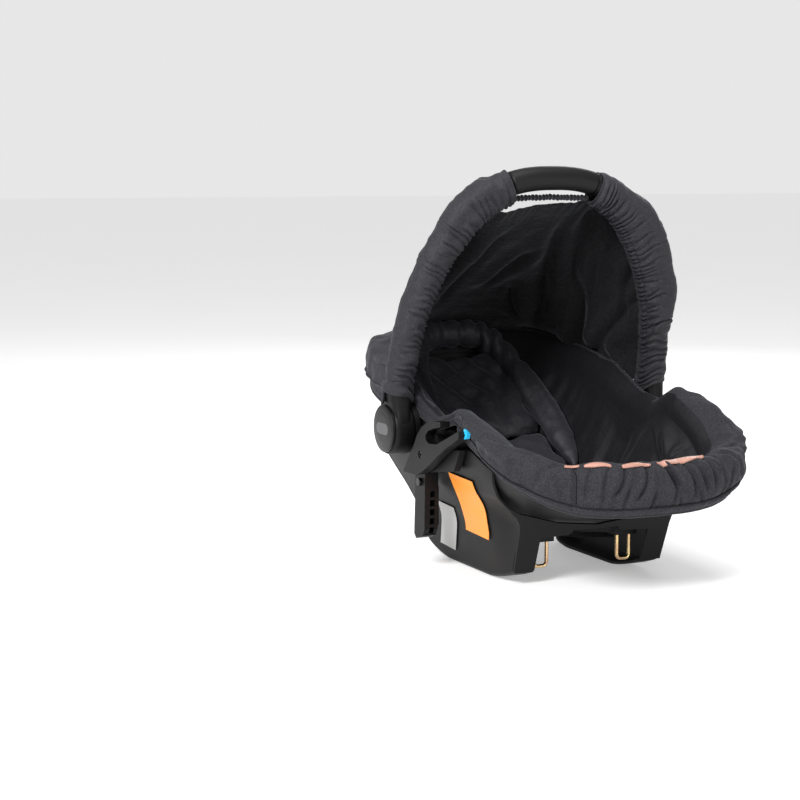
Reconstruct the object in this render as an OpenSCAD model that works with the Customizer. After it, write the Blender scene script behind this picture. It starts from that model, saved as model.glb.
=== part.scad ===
// Infant car seat: rigid bucket on rockers, swinging carry handle, sunshade and padded cover.
// Front (foot end) faces -Y, the head end faces +Y, Z is up, and the seat stands on Z = 0.

/* [Handle] */
// Width over the two round handle caps
cap_span = 440; // [436:1:460]
// Height of the handle pivots above the floor
pivot_h = 193; // [190:1:198]
// Distance from the pivots to the middle of the grip tube
handle_reach = 348; // [340:1:370]
// Half the distance between the two handle arms, centre to centre
handle_half = 202; // [201:1:204]
// Forward lean of the handle at rest, in degrees
handle_lean = 12.7; // [5:0.1:16]
// Diameter of the handle tube
tube_d = 32; // [30:1:33]
// Half length of the bare grip
grip_half = 65; // [50:1:80]
// Diameter of the round hub housings
hub_d = 73; // [70:1:76]
// Diameter of the hub caps
cap_d = 65; // [60:1:68]
// Travel of the handle release buttons
button_travel = 4; // [3:0.5:4.5]

/* [Bucket] */
// Half width of the plastic bucket at its edge
shell_half = 172; // [170:1:173]
// Wall thickness of the plastic bucket
shell_wall = 3.5; // [3:0.5:4]
// Foremost point of the bucket
shell_front = -336; // [-340:1:-330]
// Rearmost point of the bucket
shell_rear = 274; // [270:1:278]
// Half width of the side skirts at the pivots
skirt_half = 177; // [176.5:0.5:177.5]
// Half width of the side skirts at the floor
foot_half = 112; // [108:1:118]
// Width of each rocker foot
foot_w = 32; // [26:1:36]

/* [Hidden] */

// Distance along Y from the pivots to the frame's origin, which is under the middle of the seat
origin_y = 31;

// Heights along the seat, as [y from the pivots, z] pairs
EDGE_Z = [[-336, 148], [-290, 156], [-240, 176], [-180, 198], [-60, 208], [0, 218],
          [60, 246], [140, 266], [220, 278], [280, 284]];
FLOOR_Z = [[-336, 146], [-326, 132], [-300, 118], [-240, 98], [-200, 82], [-150, 66], [-100, 58],
           [-40, 56], [20, 66], [60, 84], [120, 124], [180, 172], [240, 226], [262, 254], [274, 281]];
COVER_Z = [[-350, 177], [-300, 181], [-260, 192], [-229, 211], [-189, 228], [-150, 242], [-128, 243],
           [-106, 233], [-82, 222], [-50, 228], [-20, 240], [20, 258], [76, 273], [137, 284], [218, 299],
           [292, 303]];
FOOT_Z = [[-180, 19], [-150, 8], [-130, 3], [-110, 0], [15, 0], [35, 3], [55, 8], [74, 16],
          [84, 32], [92, 66], [98, 112], [106, 170]];
// Outer half width of the skirts against height
SKIRT_X = [[0, 0], [20, 2], [65, 10], [100, 28], [130, 47], [150, 58.5], [170, 63], [185, 64.5], [200, 65]];

function smooth(t, y, d = 12) = (lookup(y - d, t) + 2 * lookup(y, t) + lookup(y + d, t)) / 4;
function blend(a, b, t) = a + (b - a) * t;
function step01(a, b, v) = let(t = min(1, max(0, (v - a) / (b - a)))) t * t * (3 - 2 * t);

// Half width in plan of a rounded outline that is w wide between y = front_mid and y = rear_mid
front_mid = -190;
rear_mid = 60;
function plan_half(y, w, front, rear) =
    y < front_mid ? w * pow(max(0, 1 - pow((front_mid - y) / (front_mid - front), 2.5)), 0.4)
    : y > rear_mid ? w * pow(max(0, 1 - pow((y - rear_mid) / (rear - rear_mid), 2.2)), 0.4545)
    : w;
function shell_w(y) = plan_half(y, shell_half, shell_front - 2, shell_rear + 6);

// Points of one hanging U, whose lowest point is at bottom, cut off level at a drop below its top
function u_line(y, w, top, bottom, drop, n) =
    let(cut = asin(pow(min(0.98, drop / (top - bottom)), 1.087)))
    [for (j = [0:n]) let(a = 180 + cut + (180 - 2 * cut) * j / n)
        [w * sign(cos(a)) * pow(abs(cos(a)), 0.92), y, top - (top - bottom) * pow(abs(sin(a)), 0.92)]];
function reversed(p) = [for (i = [len(p) - 1:-1:0]) p[i]];
// Closed band between two nested U lines, inset by near and by far from the bucket's outside
function u_band(y, near, far, drop, n) =
    let(top = smooth(EDGE_Z, y), low = smooth(FLOOR_Z, y), w = shell_w(y))
    concat(u_line(y, w - near, top, low + near, drop, n),
           reversed(u_line(y, w - far, top, min(low + far, top - 1), drop, n)));
// Rows that crowd towards both ends of a span
function rows(a, b, n) = [for (i = [0:n]) (a + b) / 2 - (b - a) / 2 * cos(180 * i / n)];

// Solid through a list of closed rings that all have the same number of points
module loft(rings, looped = false) {
    n = len(rings[0]);
    m = len(rings);
    sides = [for (i = [0:looped ? m - 1 : m - 2]) for (j = [0:n - 1])
        let(k = (i + 1) % m, l = (j + 1) % n)
        each [[i * n + j, i * n + l, k * n + l], [i * n + j, k * n + l, k * n + j]]];
    ends = looped ? [] : [[for (j = [n - 1:-1:0]) j], [for (j = [0:n - 1]) (m - 1) * n + j]];
    polyhedron([for (r = rings) each r], concat(sides, ends), convexity = 10);
}

module place() {
    translate([0, origin_y, 0]) children();
}
// Draws the right-hand piece where it is, or its mirror image on the left
module side(s) {
    if (s > 0) children();
    else mirror([1, 0, 0]) children();
}
module on_handle() {
    translate([0, 0, pivot_h]) rotate([handle_lean, 0, 0]) children();
}
// Turns a solid that is drawn along Z so that it runs along X from the given distance
module along_x(x) {
    translate([x, 0, pivot_h]) rotate([0, 90, 0]) children();
}

// ---------------------------------------------------------------- rigid seat

module seat_shell() {
    color("#2a2a2c") place()
        loft([for (y = rows(shell_front, shell_rear, 26)) u_band(y, 0, shell_wall, 0, 18)]);
}

module foam_liner() {
    color("#dcdcdc") place()
        loft([for (y = rows(44, 240, 12)) u_band(y, shell_wall + 1.6, 13.5, 14, 14)]);
}

// Lean of the skirts' front edges: forward shift per unit of height
function front_lean(y) = 0.36 * (1 - step01(-175, -60, y));
// The skirts flare outwards less low down at their fronts, where the legs are
leg_flare = 0.2;
function skirt_x(y, z) =
    let(flare = blend(1, leg_flare, (1 - step01(-200, -130, y)) * (1 - step01(80, 130, z))))
    (foot_half + flare * smooth(SKIRT_X, z, 8) * (skirt_half - foot_half) / 65) * shell_w(y) / shell_half;
// Section of a skirt: its outer face, the rounded turn into the foot, and its inner face
function skirt_ring(y) =
    let(wall = 3.6, levels = 9, lean = front_lean(y), low = smooth(FOOT_Z, y, 6),
        high = smooth(EDGE_Z, y - lean * 170) - 14,
        x0 = skirt_x(y - lean * low, low), foot = blend(foot_w, 14, step01(40, 90, y)),
        outer = [for (i = [0:levels]) let(z = blend(high, low + 7, i / levels))
            [skirt_x(y - lean * z, z), z]],
        turn = [[x0 - 2, low + 2], [x0 - 8, low], [x0 - foot, low], [x0 - foot, low + 4],
                [x0 - wall - 7, low + 4]],
        inner = [for (i = [levels:-1:0]) let(z = blend(high, low + 10, i / levels))
            [skirt_x(y - lean * z, z) - wall, z]])
    [for (p = concat(outer, turn, inner)) [p.x, y - lean * p.y, p.y]];
module rocker(s) {
    color("#2b2b2d") place() side(s) loft([for (y = rows(-172, 104, 22)) reversed(skirt_ring(y))]);
}

// Cross panel with the two leg fronts, leaning forward with the skirts
module front_apron() {
    lean = 19.8;
    apron_y = -172.4;
    thick = 3.6;
    inner = foot_half - foot_w + 2;
    half = [[0, 79], [60, 86], [120, 103], [foot_half + 33, 117], [foot_half + 12, 98],
            [foot_half + 4.6, 86], [foot_half + 2.6, 72], [foot_half + 0.4, 20], [inner, 20],
            [inner, 66], [40, 68], [34, 73.5], [0, 73.5]];
    other = [for (i = [1:len(half) - 2]) [-half[i].x, half[i].y]];
    outline = concat(half, reversed(other));
    color("#2b2b2d") place() translate([0, apron_y, 0]) rotate([90 + lean, 0, 0])
        linear_extrude(height = thick) polygon([for (p = outline) [p.x, p.y / cos(lean)]]);
}

module hub_boss(s) {
    color("#242426") place() side(s) difference() {
        along_x(skirt_half + 0.3) cylinder(h = 7.7, r = 35, $fn = 96);
        along_x(skirt_half + 3.5) difference() {
            cylinder(h = 10, r = 27.4, $fn = 96);
            translate([0, 0, -1]) cylinder(h = 12, r = 12, $fn = 64);
        }
        along_x(skirt_half - 1) cylinder(h = 12, r = 8, $fn = 64);
    }
}

module pivot_pin(s) {
    color("#b5b7ba") place() side(s) along_x(skirt_half + 0.5) cylinder(h = 24.5, r = 8, $fn = 64);
}

// Hooked guide for the vehicle belt, drawn in the YZ plane
guide_x = 188.8;
screw_y = -85;
screw_z = 168;
module guide_outline() {
    difference() {
        polygon([[-32, 138], [-74, 139], [-92, 146], [-114, 158], [-138, 173], [-160, 185],
                 [-182, 195], [-198, 203], [-201, 208], [-198, 213], [-171, 202], [-135, 188],
                 [-112, 186], [-103, 190], [-102, 196], [-110, 203], [-126, 208], [-147, 212],
                 [-146, 219], [-122, 217], [-103, 212], [-88, 204], [-75, 192], [-65, 177], [-47, 156]]);
        translate([screw_y, screw_z]) circle(r = 2.6, $fn = 32);
    }
}
module belt_guide(s) {
    color("#303032") place() side(s) {
        difference() {
            translate([guide_x, 0, 0]) rotate([90, 0, 90]) linear_extrude(height = 14) guide_outline();
            translate([guide_x + 9.4, screw_y, screw_z]) rotate([0, 90, 0]) cylinder(h = 6, r = 5.2, $fn = 48);
        }
        translate([174.2, -86, 147]) cube([guide_x - 174.1, 44, 15]);
        translate([177.4, 0, 0]) rotate([90, 0, 90]) linear_extrude(height = 9.4)
            polygon([[-50, 147], [-86, 143], [-154, 154], [-172, 184], [-131, 180], [-60, 166]]);
    }
}
module belt_marker(s) {
    color("#27a9d8") place() side(s) translate([guide_x + 0.5, 0, 0]) rotate([90, 0, 90])
        linear_extrude(height = 5.2) polygon([[-199, 202.6], [-204.5, 204], [-207, 209.5], [-204.5, 215],
                                              [-199, 216], [-197.5, 213.6], [-201.5, 208]]);
}
module guide_screws() {
    color("#8d8f92") place() for (s = [-1, 1]) side(s) {
        translate([guide_x + 9.6, screw_y, screw_z]) rotate([0, 90, 0]) difference() {
            cylinder(h = 3, r = 5, $fn = 48);
            translate([0, 0, 1.6]) cylinder(h = 2, r = 2.2, $fn = 6);
        }
        translate([177 + 6.5, -45, 124]) rotate([0, 90, 0]) cylinder(h = 3.5, r = 5.5, $fn = 48);
    }
}

// Upright post below the guide, with a ladder of square windows
module side_post(s) {
    window = 7;
    pitch = 12.5;
    color("#303032") place() side(s) {
        difference() {
            translate([163, 0, 0]) rotate([90, 0, 90]) linear_extrude(height = 20)
                polygon([[-60, 137], [-58, 60], [-52, 50], [-32, 44], [-26, 50], [-30, 137]]);
            translate([165, -54, 52]) cube([15, 20, 52]);
            for (i = [0:4]) translate([168, -62, 54 + i * pitch]) cube([window, 12, window + 1.5]);
            translate([182.9, -45, 124]) rotate([0, 90, 0]) cylinder(h = 2, r = 5.8, $fn = 48);
        }
        translate([154.6, -44, 62]) cube([8.6, 5, 54]);
    }
}

// Plated wire anchor that hangs below the bucket
loop_y = -166;
loop_x = 64;
loop_half = 9.5;
module latch_loop(s) {
    r = 2.5;
    bend = 6;
    top = 62;
    foot = 20.5;
    color("#c9a06a") place() side(s) translate([loop_x, loop_y, 0]) {
        for (d = [-1, 1]) side(d) {
            translate([loop_half, 0, foot + bend]) cylinder(h = top - foot - bend, r = r, $fn = 32);
            translate([loop_half - bend, 0, foot + bend]) rotate([-90, 0, 0])
                rotate_extrude(angle = 90, $fn = 48) translate([bend, 0]) circle(r = r, $fn = 32);
        }
        translate([bend - loop_half, 0, foot]) rotate([0, 90, 0])
            cylinder(h = 2 * (loop_half - bend), r = r, $fn = 32);
    }
}
module loop_clamp(s) {
    color("#38383a") place() side(s) translate([loop_x, loop_y, 0]) difference() {
        translate([-17, -7, 54]) cube([34, 14, 11]);
        for (d = [-1, 1]) translate([d * loop_half, 0, 50]) cylinder(h = 12, r = 2.55, $fn = 32);
    }
}

// Webbing that crosses under the bucket, from the foot of each leg to the back
module under_webbing() {
    w = 38;
    t = 1.6;
    color("#1c1c1e") place() for (s = [-1, 1]) side(s)
        translate([0, 0, s > 0 ? 0 : 4]) loft([for (i = [0:10])
            let(u = i / 10, x = blend(70, -62, u), y = blend(-128, 96, u),
                z = 44 - 10 * sin(180 * u) + 26 * pow(u, 3))
            [[x, y - w / 2, z], [x, y + w / 2, z], [x, y + w / 2, z + t], [x, y - w / 2, z + t]]]);
}
module webbing_plate() {
    color("#b98a4e") place() translate([-16, -36, 49.5]) difference() {
        cube([32, 40, 2.5]);
        translate([5, 6, -1]) cube([22, 5, 5]);
        translate([5, 29, -1]) cube([22, 5, 5]);
    }
}

// ---------------------------------------------------------------- labels

// Thin sheet that lies on the outside of a skirt, through rows of [y, z, run along Y]
module skirt_label(rows_yz, lift) {
    thick = 0.4;
    loft([for (r = rows_yz)
        let(y1 = r.x, z1 = r.y, y2 = r.x - r.z, z2 = r.y - 3, x1 = skirt_x(y1, z1) + lift,
            x2 = skirt_x(y2, z2) + lift)
        [[x1, y1, z1], [x2, y2, z2], [x2 + thick, y2, z2], [x1 + thick, y1, z1]]]);
}
module warning_label() {
    color("#f0a020") place() side(-1)
        skirt_label([for (i = [0:16]) [2.5 * i - 105, 145 - 5.5 * i, 66]], 2.6);
}
module data_label() {
    color("#d8d8d6") place() side(-1)
        skirt_label([for (i = [0:12]) [2.5 * i - 2, 88 - 5.5 * i, 46]], 1.6);
}

// ---------------------------------------------------------------- soft parts of the seat

// Plan loop of the cover, anticlockwise from the front: [x, y] with rounded ends
cover_rear = shell_rear + 6;
cover_front = shell_front + 1;
STRAIGHT = [-166, -152, -146, -110, -76, -44, -15, 15, 40, 46];
function cover_half(n) = concat(
    [for (i = [0:n]) let(a = 90 * i / n)
        [shell_half * pow(sin(a), 0.8), front_mid - (front_mid - cover_front) * pow(cos(a), 0.8)]],
    [for (y = STRAIGHT) [shell_half, y]],
    [for (i = [0:n]) let(a = 90 * i / n)
        [shell_half * pow(cos(a), 0.909), rear_mid + (cover_rear - rear_mid) * pow(sin(a), 0.909)]]);
function cover_loop(n) = let(h = cover_half(n))
    concat(h, [for (i = [len(h) - 2:-1:1]) [-h[i].x, h[i].y]]);
// Height of the cover's hem below its top, which is cut high beside the hubs and belt guides
HEM_Z = [[-350, -64], [-322, -59], [-299, -49], [-268, -42], [-235, -36], [-198, -31], [-175, -24],
         [-152, -16], [-79, -18], [-40, -22], [0, -28], [40, -34], [62, -62], [292, -62]];
// There it also lies close to the bucket (slim), and in front of them the wings lean outwards (flare)
function slim(y) = step01(-152, -146, y) * (1 - step01(40, 46, y));
function flare(y) = 8 * step01(-300, -240, y) * (1 - step01(-162, -152, y));
function cover_section(y) =
    let(h = slim(y), f = flare(y), hem = smooth(HEM_Z, y, 6),
        out = blend(y > 0 ? 7.8 : 15, 4.6, h), skin = blend(y > 0 ? 5.8 : 6.2, 0.9, h))
    [[skin, hem], [out - 1.2 * (1 - h), hem], [out, 0.65 * hem], [out, 0.32 * hem],
     [blend(6, 3, h) + f, -2.5], [f - 4, 0], [f / 2 - 18, -3], [-28, -14],
     [-31, -34], [-29, -46], [-24, -45], [-25, -32], [-20, -17], [-12, -10],
     [blend(0, -2, h), -9], [skin, max(-13, 0.55 * hem)]];
module cover_rim() {
    loop = cover_loop(11);
    n = len(loop);
    color("#303034") place() loft([for (i = [0:n - 1])
        let(p = loop[i], d = loop[(i + 1) % n] - loop[(i + n - 1) % n], out = [d.y, -d.x] / norm(d),
            top = smooth(COVER_Z, p.y))
        [for (q = cover_section(p.y)) [p.x + out.x * q.x, p.y + out.y * q.x, top + q.y]]], looped = true);
}
module cover_liner() {
    color("#2c2c30") place() loft([for (y = rows(-244, 222, 18))
        u_band(y, 20, 24.6, max(8, 52 - smooth(COVER_Z, y) + smooth(EDGE_Z, y)), 14)]);
}
module cover_snaps() {
    color("#a8a8aa") place() for (s = [-1, 1]) side(s)
        translate([shell_half + 15.6, -178, 226]) rotate([0, 90, 0]) cylinder(h = 1.6, r = 4.5, $fn = 48);
}

// Height of the inside of the bucket, inset from its outside, at a place in plan
function u_z(x, y, o) = let(top = smooth(EDGE_Z, y), low = smooth(FLOOR_Z, y) + o, w = shell_w(y) - o)
    top - (top - low) * pow(max(0, 1 - pow(abs(x) / w, 2.174)), 0.46);
// Ring of a pad that lies in the bucket, half wide and thick at its middle
function pad_ring(y, half, thick, o) = concat(
    [for (j = [0:8]) let(x = half * (j / 4 - 1)) [x, y, u_z(x, y, o)]],
    [for (j = [8:-1:0]) let(x = half * (j / 4 - 1) * 0.98)
        [x, y, u_z(x, y, o) + 1 + thick * pow(1 - pow(abs(j / 4 - 1), 4), 0.5)]]);
under_pad = 31;
module insert_back() {
    color("#232327") place() loft([for (y = rows(16, 214, 12))
        pad_ring(y, 80 - 12 * step01(150, 214, y), 15 + 6 * sin(180 * (y - 16) / 198), under_pad)]);
}
module insert_seat() {
    color("#232327") place() loft([for (y = rows(-196, -48, 10))
        pad_ring(y, 74 - 22 * step01(-110, -196, y), 12 + 6 * sin(180 * (y + 196) / 148), under_pad)]);
}
// Horseshoe roll around the head and down both sides of the back pad
module insert_roll() {
    r = 18;
    n = 20;
    path = [for (i = [0:n]) let(a = -22 + 224 * i / n)
        [92 * sign(cos(a)) * pow(abs(cos(a)), 0.6), 70 + 165 * sin(a)]];
    color("#262629") place() loft([for (i = [0:n])
        let(p = path[i], d = path[min(n, i + 1)] - path[max(0, i - 1)], out = [d.y, -d.x] / norm(d),
            q = r * (i == 0 || i == n ? 0.5 : 1),
            base = u_z(p.x, p.y, under_pad) + 8 + 16 * step01(180, 236, p.y))
        [for (k = [0:9]) [p.x + out.x * q * 0.9 * cos(36 * k), p.y + out.y * q * 0.9 * cos(36 * k),
                          base + r + q * sin(36 * k)]]]);
}

// ---------------------------------------------------------------- harness

// Flat webbing that lies on the liner through [x, y] points
module lying_strap(points, w, t = 1.6) {
    loft([for (p = points)
        let(a = u_z(p.x - w / 2, p.y, 27), b = u_z(p.x + w / 2, p.y, 27))
        [[p.x - w / 2, p.y, a], [p.x + w / 2, p.y, b],
         [p.x + w / 2, p.y, b + t], [p.x - w / 2, p.y, a + t]]]);
}
module shoulder_strap(s) {
    color("#18181a") place() side(s)
        lying_strap([for (i = [0:8]) [blend(16.5, 40, i / 8), blend(24, 126, i / 8)]], 24);
}
buckle_y = -8;
module crotch_strap() {
    color("#18181a") place() lying_strap([for (i = [0:4]) [0, blend(-70, buckle_y - 24, i / 4)]], 34);
}
module buckle_housing() {
    color("#1b1b1d") place() translate([0, buckle_y, u_z(0, buckle_y, 26) + 5]) difference() {
        translate([-19, -22, 0]) cube([38, 40, 15]);
        translate([-13, -16, 9]) cube([26, 20, 8]);
        translate([-15.5, 6, 4.5]) cube([31, 14, 5]);
    }
}
module buckle_button() {
    color("#7c1f1c") place() translate([-12.5, buckle_y - 15.5, u_z(0, buckle_y, 26) + 17.5])
        cube([25, 19, 4]);
}
module buckle_tongues() {
    color("#a9abae") place() for (s = [-1, 1]) side(s)
        translate([0.5, buckle_y + 7, u_z(0, buckle_y, 26) + 10.5]) cube([14, 17, 2.5]);
}
adjuster_y = -240;
module on_adjuster() {
    place() translate([0, adjuster_y, u_z(0, adjuster_y, 26) + 5]) rotate([-22, 0, 0]) children();
}
module adjuster_body() {
    color("#3a3a3c") on_adjuster() difference() {
        translate([-20, -16, 0]) cube([40, 32, 12]);
        translate([-15, -18, 3]) cube([30, 36, 12]);
        translate([-21, 0, 8]) rotate([0, 90, 0]) cylinder(h = 42, r = 2.05, $fn = 48);
    }
}
module adjuster_lever() {
    color("#8a8c8f") on_adjuster() {
        translate([-20, 0, 8]) rotate([0, 90, 0]) cylinder(h = 40, r = 2, $fn = 48);
        translate([-14, -2, 6.4]) cube([28, 24, 3.2]);
    }
}
module adjuster_strap() {
    color("#18181a") place() lying_strap([for (i = [0:6]) [0, blend(-212, -84, i / 6)]], 26);
}

// ---------------------------------------------------------------- handle

// Middle line of the handle in its own plane, from the right pivot (0) over the top to the left (180)
function arch(a) = [handle_half * sign(cos(a)) * pow(abs(cos(a)), 0.8), 0, handle_reach * pow(sin(a), 0.8)];
function arch_in(a) = let(d = arch(a + 0.5) - arch(a - 0.5)) [-d.z, 0, d.x] / norm(d);
// Section across the arch: u towards the inside of the arch, v towards the back of the seat
function arch_ring(a, section) = [for (q = section) arch(a) + arch_in(a) * q.x + [0, q.y, 0]];
function oval(r_in, r_out, r_side, n) = [for (k = [0:n - 1]) let(c = cos(360 * k / n), s = sin(360 * k / n))
    [c > 0 ? r_in * c : r_out * c, r_side * s]];
// Open sleeve that wraps the tube, slit along its back
function wrap(r_hole, r_in, r_out, n) = concat(
    [for (k = [0:n]) let(a = 100 + 340 * k / n, c = cos(a)) [c > 0 ? r_in * c : r_out * c, r_out * sin(a)]],
    [for (k = [n:-1:0]) let(a = 100 + 340 * k / n) [r_hole * cos(a), r_hole * sin(a)]]);
neck_top = 62;
arm_start = 6.8;
// Angle along the arch at which the bare grip starts
grip_a = acos(pow(grip_half / handle_half, 1.25));

module handle_frame() {
    r = tube_d / 2;
    core = r - 3;
    steps = concat([for (i = [0:9]) [blend(arm_start, grip_a - 0.5, i / 9), r]],
                   [for (i = [0:6]) [blend(grip_a, 180 - grip_a, i / 6), core]],
                   [for (i = [9:-1:0]) [180 - blend(arm_start, grip_a - 0.5, i / 9), r]]);
    color("#2b2b2d") place() on_handle()
        loft([for (s = steps) arch_ring(s[0], oval(s[1], s[1], s[1], 16))]);
}
module handle_grip() {
    color("#1f1f21") place() on_handle() loft([for (i = [0:8])
        arch_ring(blend(grip_a + 0.4, 179.6 - grip_a, i / 8),
                  wrap(tube_d / 2 - 2.6, tube_d / 2, tube_d / 2, 16))]);
}
module canopy_sleeve(s) {
    color("#2e2e32") place() on_handle() side(s) loft([for (i = [0:14])
        let(a = blend(arm_start + 0.4, grip_a - 1, i / 14))
        arch_ring(a, wrap(tube_d / 2 + 1.1, blend(18, 26, step01(20, 56, a)), 20.5, 14))]);
}
module canopy_elastic() {
    color("#29292d") place() on_handle() loft([for (i = [0:8]) let(x = blend(58, -58, i / 8))
        [for (k = [0:7]) [x, 3 + 3 * cos(45 * k), 317 + 3 * sin(45 * k)]]]);
}

module handle_hub(s) {
    far = cap_span / 2 - 6;
    near = skirt_half + 8.4;
    neck = [[-21, 28], [-21, 40], [-17, neck_top], [17, neck_top], [21, 40], [21, 28]];
    color("#29292b") place() side(s) difference() {
        union() {
            along_x(near) cylinder(h = far - near, r = hub_d / 2, $fn = 128);
            on_handle() translate([handle_half - 11, 0, 0]) rotate([90, 0, 90])
                linear_extrude(height = 20) polygon(neck);
        }
        along_x(near - 1) cylinder(h = 10.6, r = 27.4, $fn = 96);
        along_x(near) cylinder(h = 30, r = 8.05, $fn = 64);
        along_x(far - 9.6) cylinder(h = 10, r = 30, $fn = 96);
        for (a = [0, 180]) along_x(near) rotate([0, 0, a + 90]) translate([14, 0, 0])
            cylinder(h = 30, r = 3, $fn = 32);
    }
}
badge_half = 11;
badge_r = 8.5;
module badge(r, h) {
    translate([0, -badge_half, 0]) cylinder(h = h, r = r, $fn = 64);
    translate([0, badge_half, 0]) cylinder(h = h, r = r, $fn = 64);
    translate([-r, -badge_half, 0]) cube([2 * r, 2 * badge_half, h]);
}
module hub_cap(s) {
    r = cap_d / 2;
    color("#333335") place() side(s) along_x(cap_span / 2 - 5.9) difference() {
        rotate_extrude($fn = 128)
            polygon([[0, 0], [r, 0], [r, 3], [r - 1, 4], [r - 5, 4.8], [r - 14, 5.6], [0, 5.9]]);
        translate([0, 0, -1]) badge(badge_r, 12);
    }
}
module handle_button(s) {
    far = cap_span / 2;
    color("#9a9a9c") place() side(s) {
        along_x(far - 10.2) cylinder(h = 4, r = 22, $fn = 96);
        along_x(far - 6.2) badge(badge_r - 0.4, button_travel + 1.8);
        for (a = [0, 180]) along_x(skirt_half + 17.2) rotate([0, 0, a + 90]) translate([14, 0, 0])
            cylinder(h = far - 10.2 - skirt_half - 17.2, r = 2.6, $fn = 32);
    }
}
module lock_gear(s) {
    color("#c8c6be") place() side(s) along_x(skirt_half + 9.2) difference() {
        union() {
            cylinder(h = 8, r = 23, $fn = 96);
            for (i = [0:11]) rotate([0, 0, 30 * i]) translate([23, 0, 0]) cylinder(h = 8, r = 3, $fn = 32);
        }
        translate([0, 0, -1]) cylinder(h = 10, r = 12.4, $fn = 64);
    }
}
module button_spring(s) {
    turns = 2.5;
    steps = 12;
    color("#b0b2b5") place() side(s) along_x(skirt_half + 4.2) loft([for (i = [0:turns * steps])
        let(a = 360 * i / steps)
        [for (k = [0:5]) let(r = 17 + 0.6 * cos(60 * k))
            [r * cos(a), r * sin(a), 0.8 + 3 * i / (turns * steps) + 0.6 * sin(60 * k)]]]);
}

// ---------------------------------------------------------------- sunshade

hood_start = 8;
// Front edge, just behind the sleeves, which dips below the bare grip
function hood_front(t) =
    let(a = blend(hood_start, 180 - hood_start, t), p = arch(a), c = cos(handle_lean), s = sin(handle_lean),
        v = tube_d / 2 + 9, h = p.z - 32 * step01(52, 80, min(a, 180 - a)) * sin(a))
    [p.x, v * c - h * s, pivot_h + v * s + h * c];
// A line around the outside of the cover from one hub to the other, out from it and below its top
function hood_round(t, out, drop) =
    let(b = 180 * t, c = cos(b), s = sin(b), start = 16 * (1 - step01(0, 30, min(b, 180 - b))),
        y = rear_mid - start + (cover_rear + out - rear_mid) * pow(abs(s), 0.909))
    [(shell_half + out) * sign(c) * pow(abs(c), 0.909), y, smooth(COVER_Z, y) - drop];
// Line across the hood from the handle, over the edge of the cover, to the hem
function hood_line(t, inset) =
    let(e = min(t, 1 - t), sag = 6 + 28 * step01(0.04, 0.14, e) * (1 - step01(0.28, 0.45, e)), steps = 6,
        f = hood_front(t), top = hood_round(t, 11 - inset, inset - 4), a = 180 * t,
        out = [cos(a), 0.3, 0.2 + sin(a)] / norm([cos(a), 0.3, 0.2 + sin(a)]))
    concat([for (j = [0:steps]) let(v = j / steps)
               blend(f, top, v) - out * (sag * sin(180 * v) + inset * (1 - v))],
           [hood_round(t, 13 - inset, 34)]);
module canopy_hood() {
    thick = 2;
    cols = 20;
    color("#2d2d31") place() loft([for (i = [0:cols])
        concat(hood_line(i / cols, thick), reversed(hood_line(i / cols, 0)))]);
}

seat_shell();
rocker(-1);  // rocker_left
rocker(1);  // rocker_right
front_apron();
foam_liner();
hub_boss(-1);  // hub_boss_left
hub_boss(1);  // hub_boss_right
pivot_pin(-1);  // pivot_pin_left
pivot_pin(1);  // pivot_pin_right
belt_guide(-1);  // belt_guide_left
belt_guide(1);  // belt_guide_right
belt_marker(-1);  // belt_marker_left
belt_marker(1);  // belt_marker_right
guide_screws();
side_post(-1);  // side_post_left
side_post(1);  // side_post_right
latch_loop(-1);  // latch_loop_left
latch_loop(1);  // latch_loop_right
loop_clamp(-1);  // loop_clamp_left
loop_clamp(1);  // loop_clamp_right
under_webbing();
webbing_plate();
warning_label();
data_label();
cover_rim();
cover_liner();
cover_snaps();
insert_back();
insert_roll();
insert_seat();
shoulder_strap(-1);  // shoulder_strap_left
shoulder_strap(1);  // shoulder_strap_right
crotch_strap();
buckle_housing();
buckle_button();
buckle_tongues();
adjuster_body();
adjuster_lever();
adjuster_strap();
handle_frame();
handle_grip();
handle_hub(-1);  // handle_hub_left
handle_hub(1);  // handle_hub_right
hub_cap(-1);  // hub_cap_left
hub_cap(1);  // hub_cap_right
lock_gear(-1);  // lock_gear_left
lock_gear(1);  // lock_gear_right
handle_button(-1);  // handle_button_left
handle_button(1);  // handle_button_right
button_spring(-1);  // button_spring_left
button_spring(1);  // button_spring_right
canopy_sleeve(-1);  // canopy_sleeve_left
canopy_sleeve(1);  // canopy_sleeve_right
canopy_elastic();
canopy_hood();
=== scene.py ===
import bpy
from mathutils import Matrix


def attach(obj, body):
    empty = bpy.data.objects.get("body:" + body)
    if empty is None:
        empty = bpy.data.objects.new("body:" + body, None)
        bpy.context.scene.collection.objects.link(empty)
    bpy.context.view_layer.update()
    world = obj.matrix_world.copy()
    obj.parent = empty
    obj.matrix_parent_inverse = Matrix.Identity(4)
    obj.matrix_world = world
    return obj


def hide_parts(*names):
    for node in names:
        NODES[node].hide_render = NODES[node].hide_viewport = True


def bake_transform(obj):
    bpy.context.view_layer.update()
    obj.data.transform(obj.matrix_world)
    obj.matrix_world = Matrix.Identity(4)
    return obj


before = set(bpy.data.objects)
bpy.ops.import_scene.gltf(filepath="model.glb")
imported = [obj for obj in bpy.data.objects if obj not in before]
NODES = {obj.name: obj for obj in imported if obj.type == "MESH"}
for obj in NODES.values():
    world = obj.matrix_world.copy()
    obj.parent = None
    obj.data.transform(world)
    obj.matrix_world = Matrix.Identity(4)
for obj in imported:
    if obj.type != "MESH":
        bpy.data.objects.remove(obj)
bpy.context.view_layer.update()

import math

import bmesh
import bpy
import numpy as np
from mathutils import Vector

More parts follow.
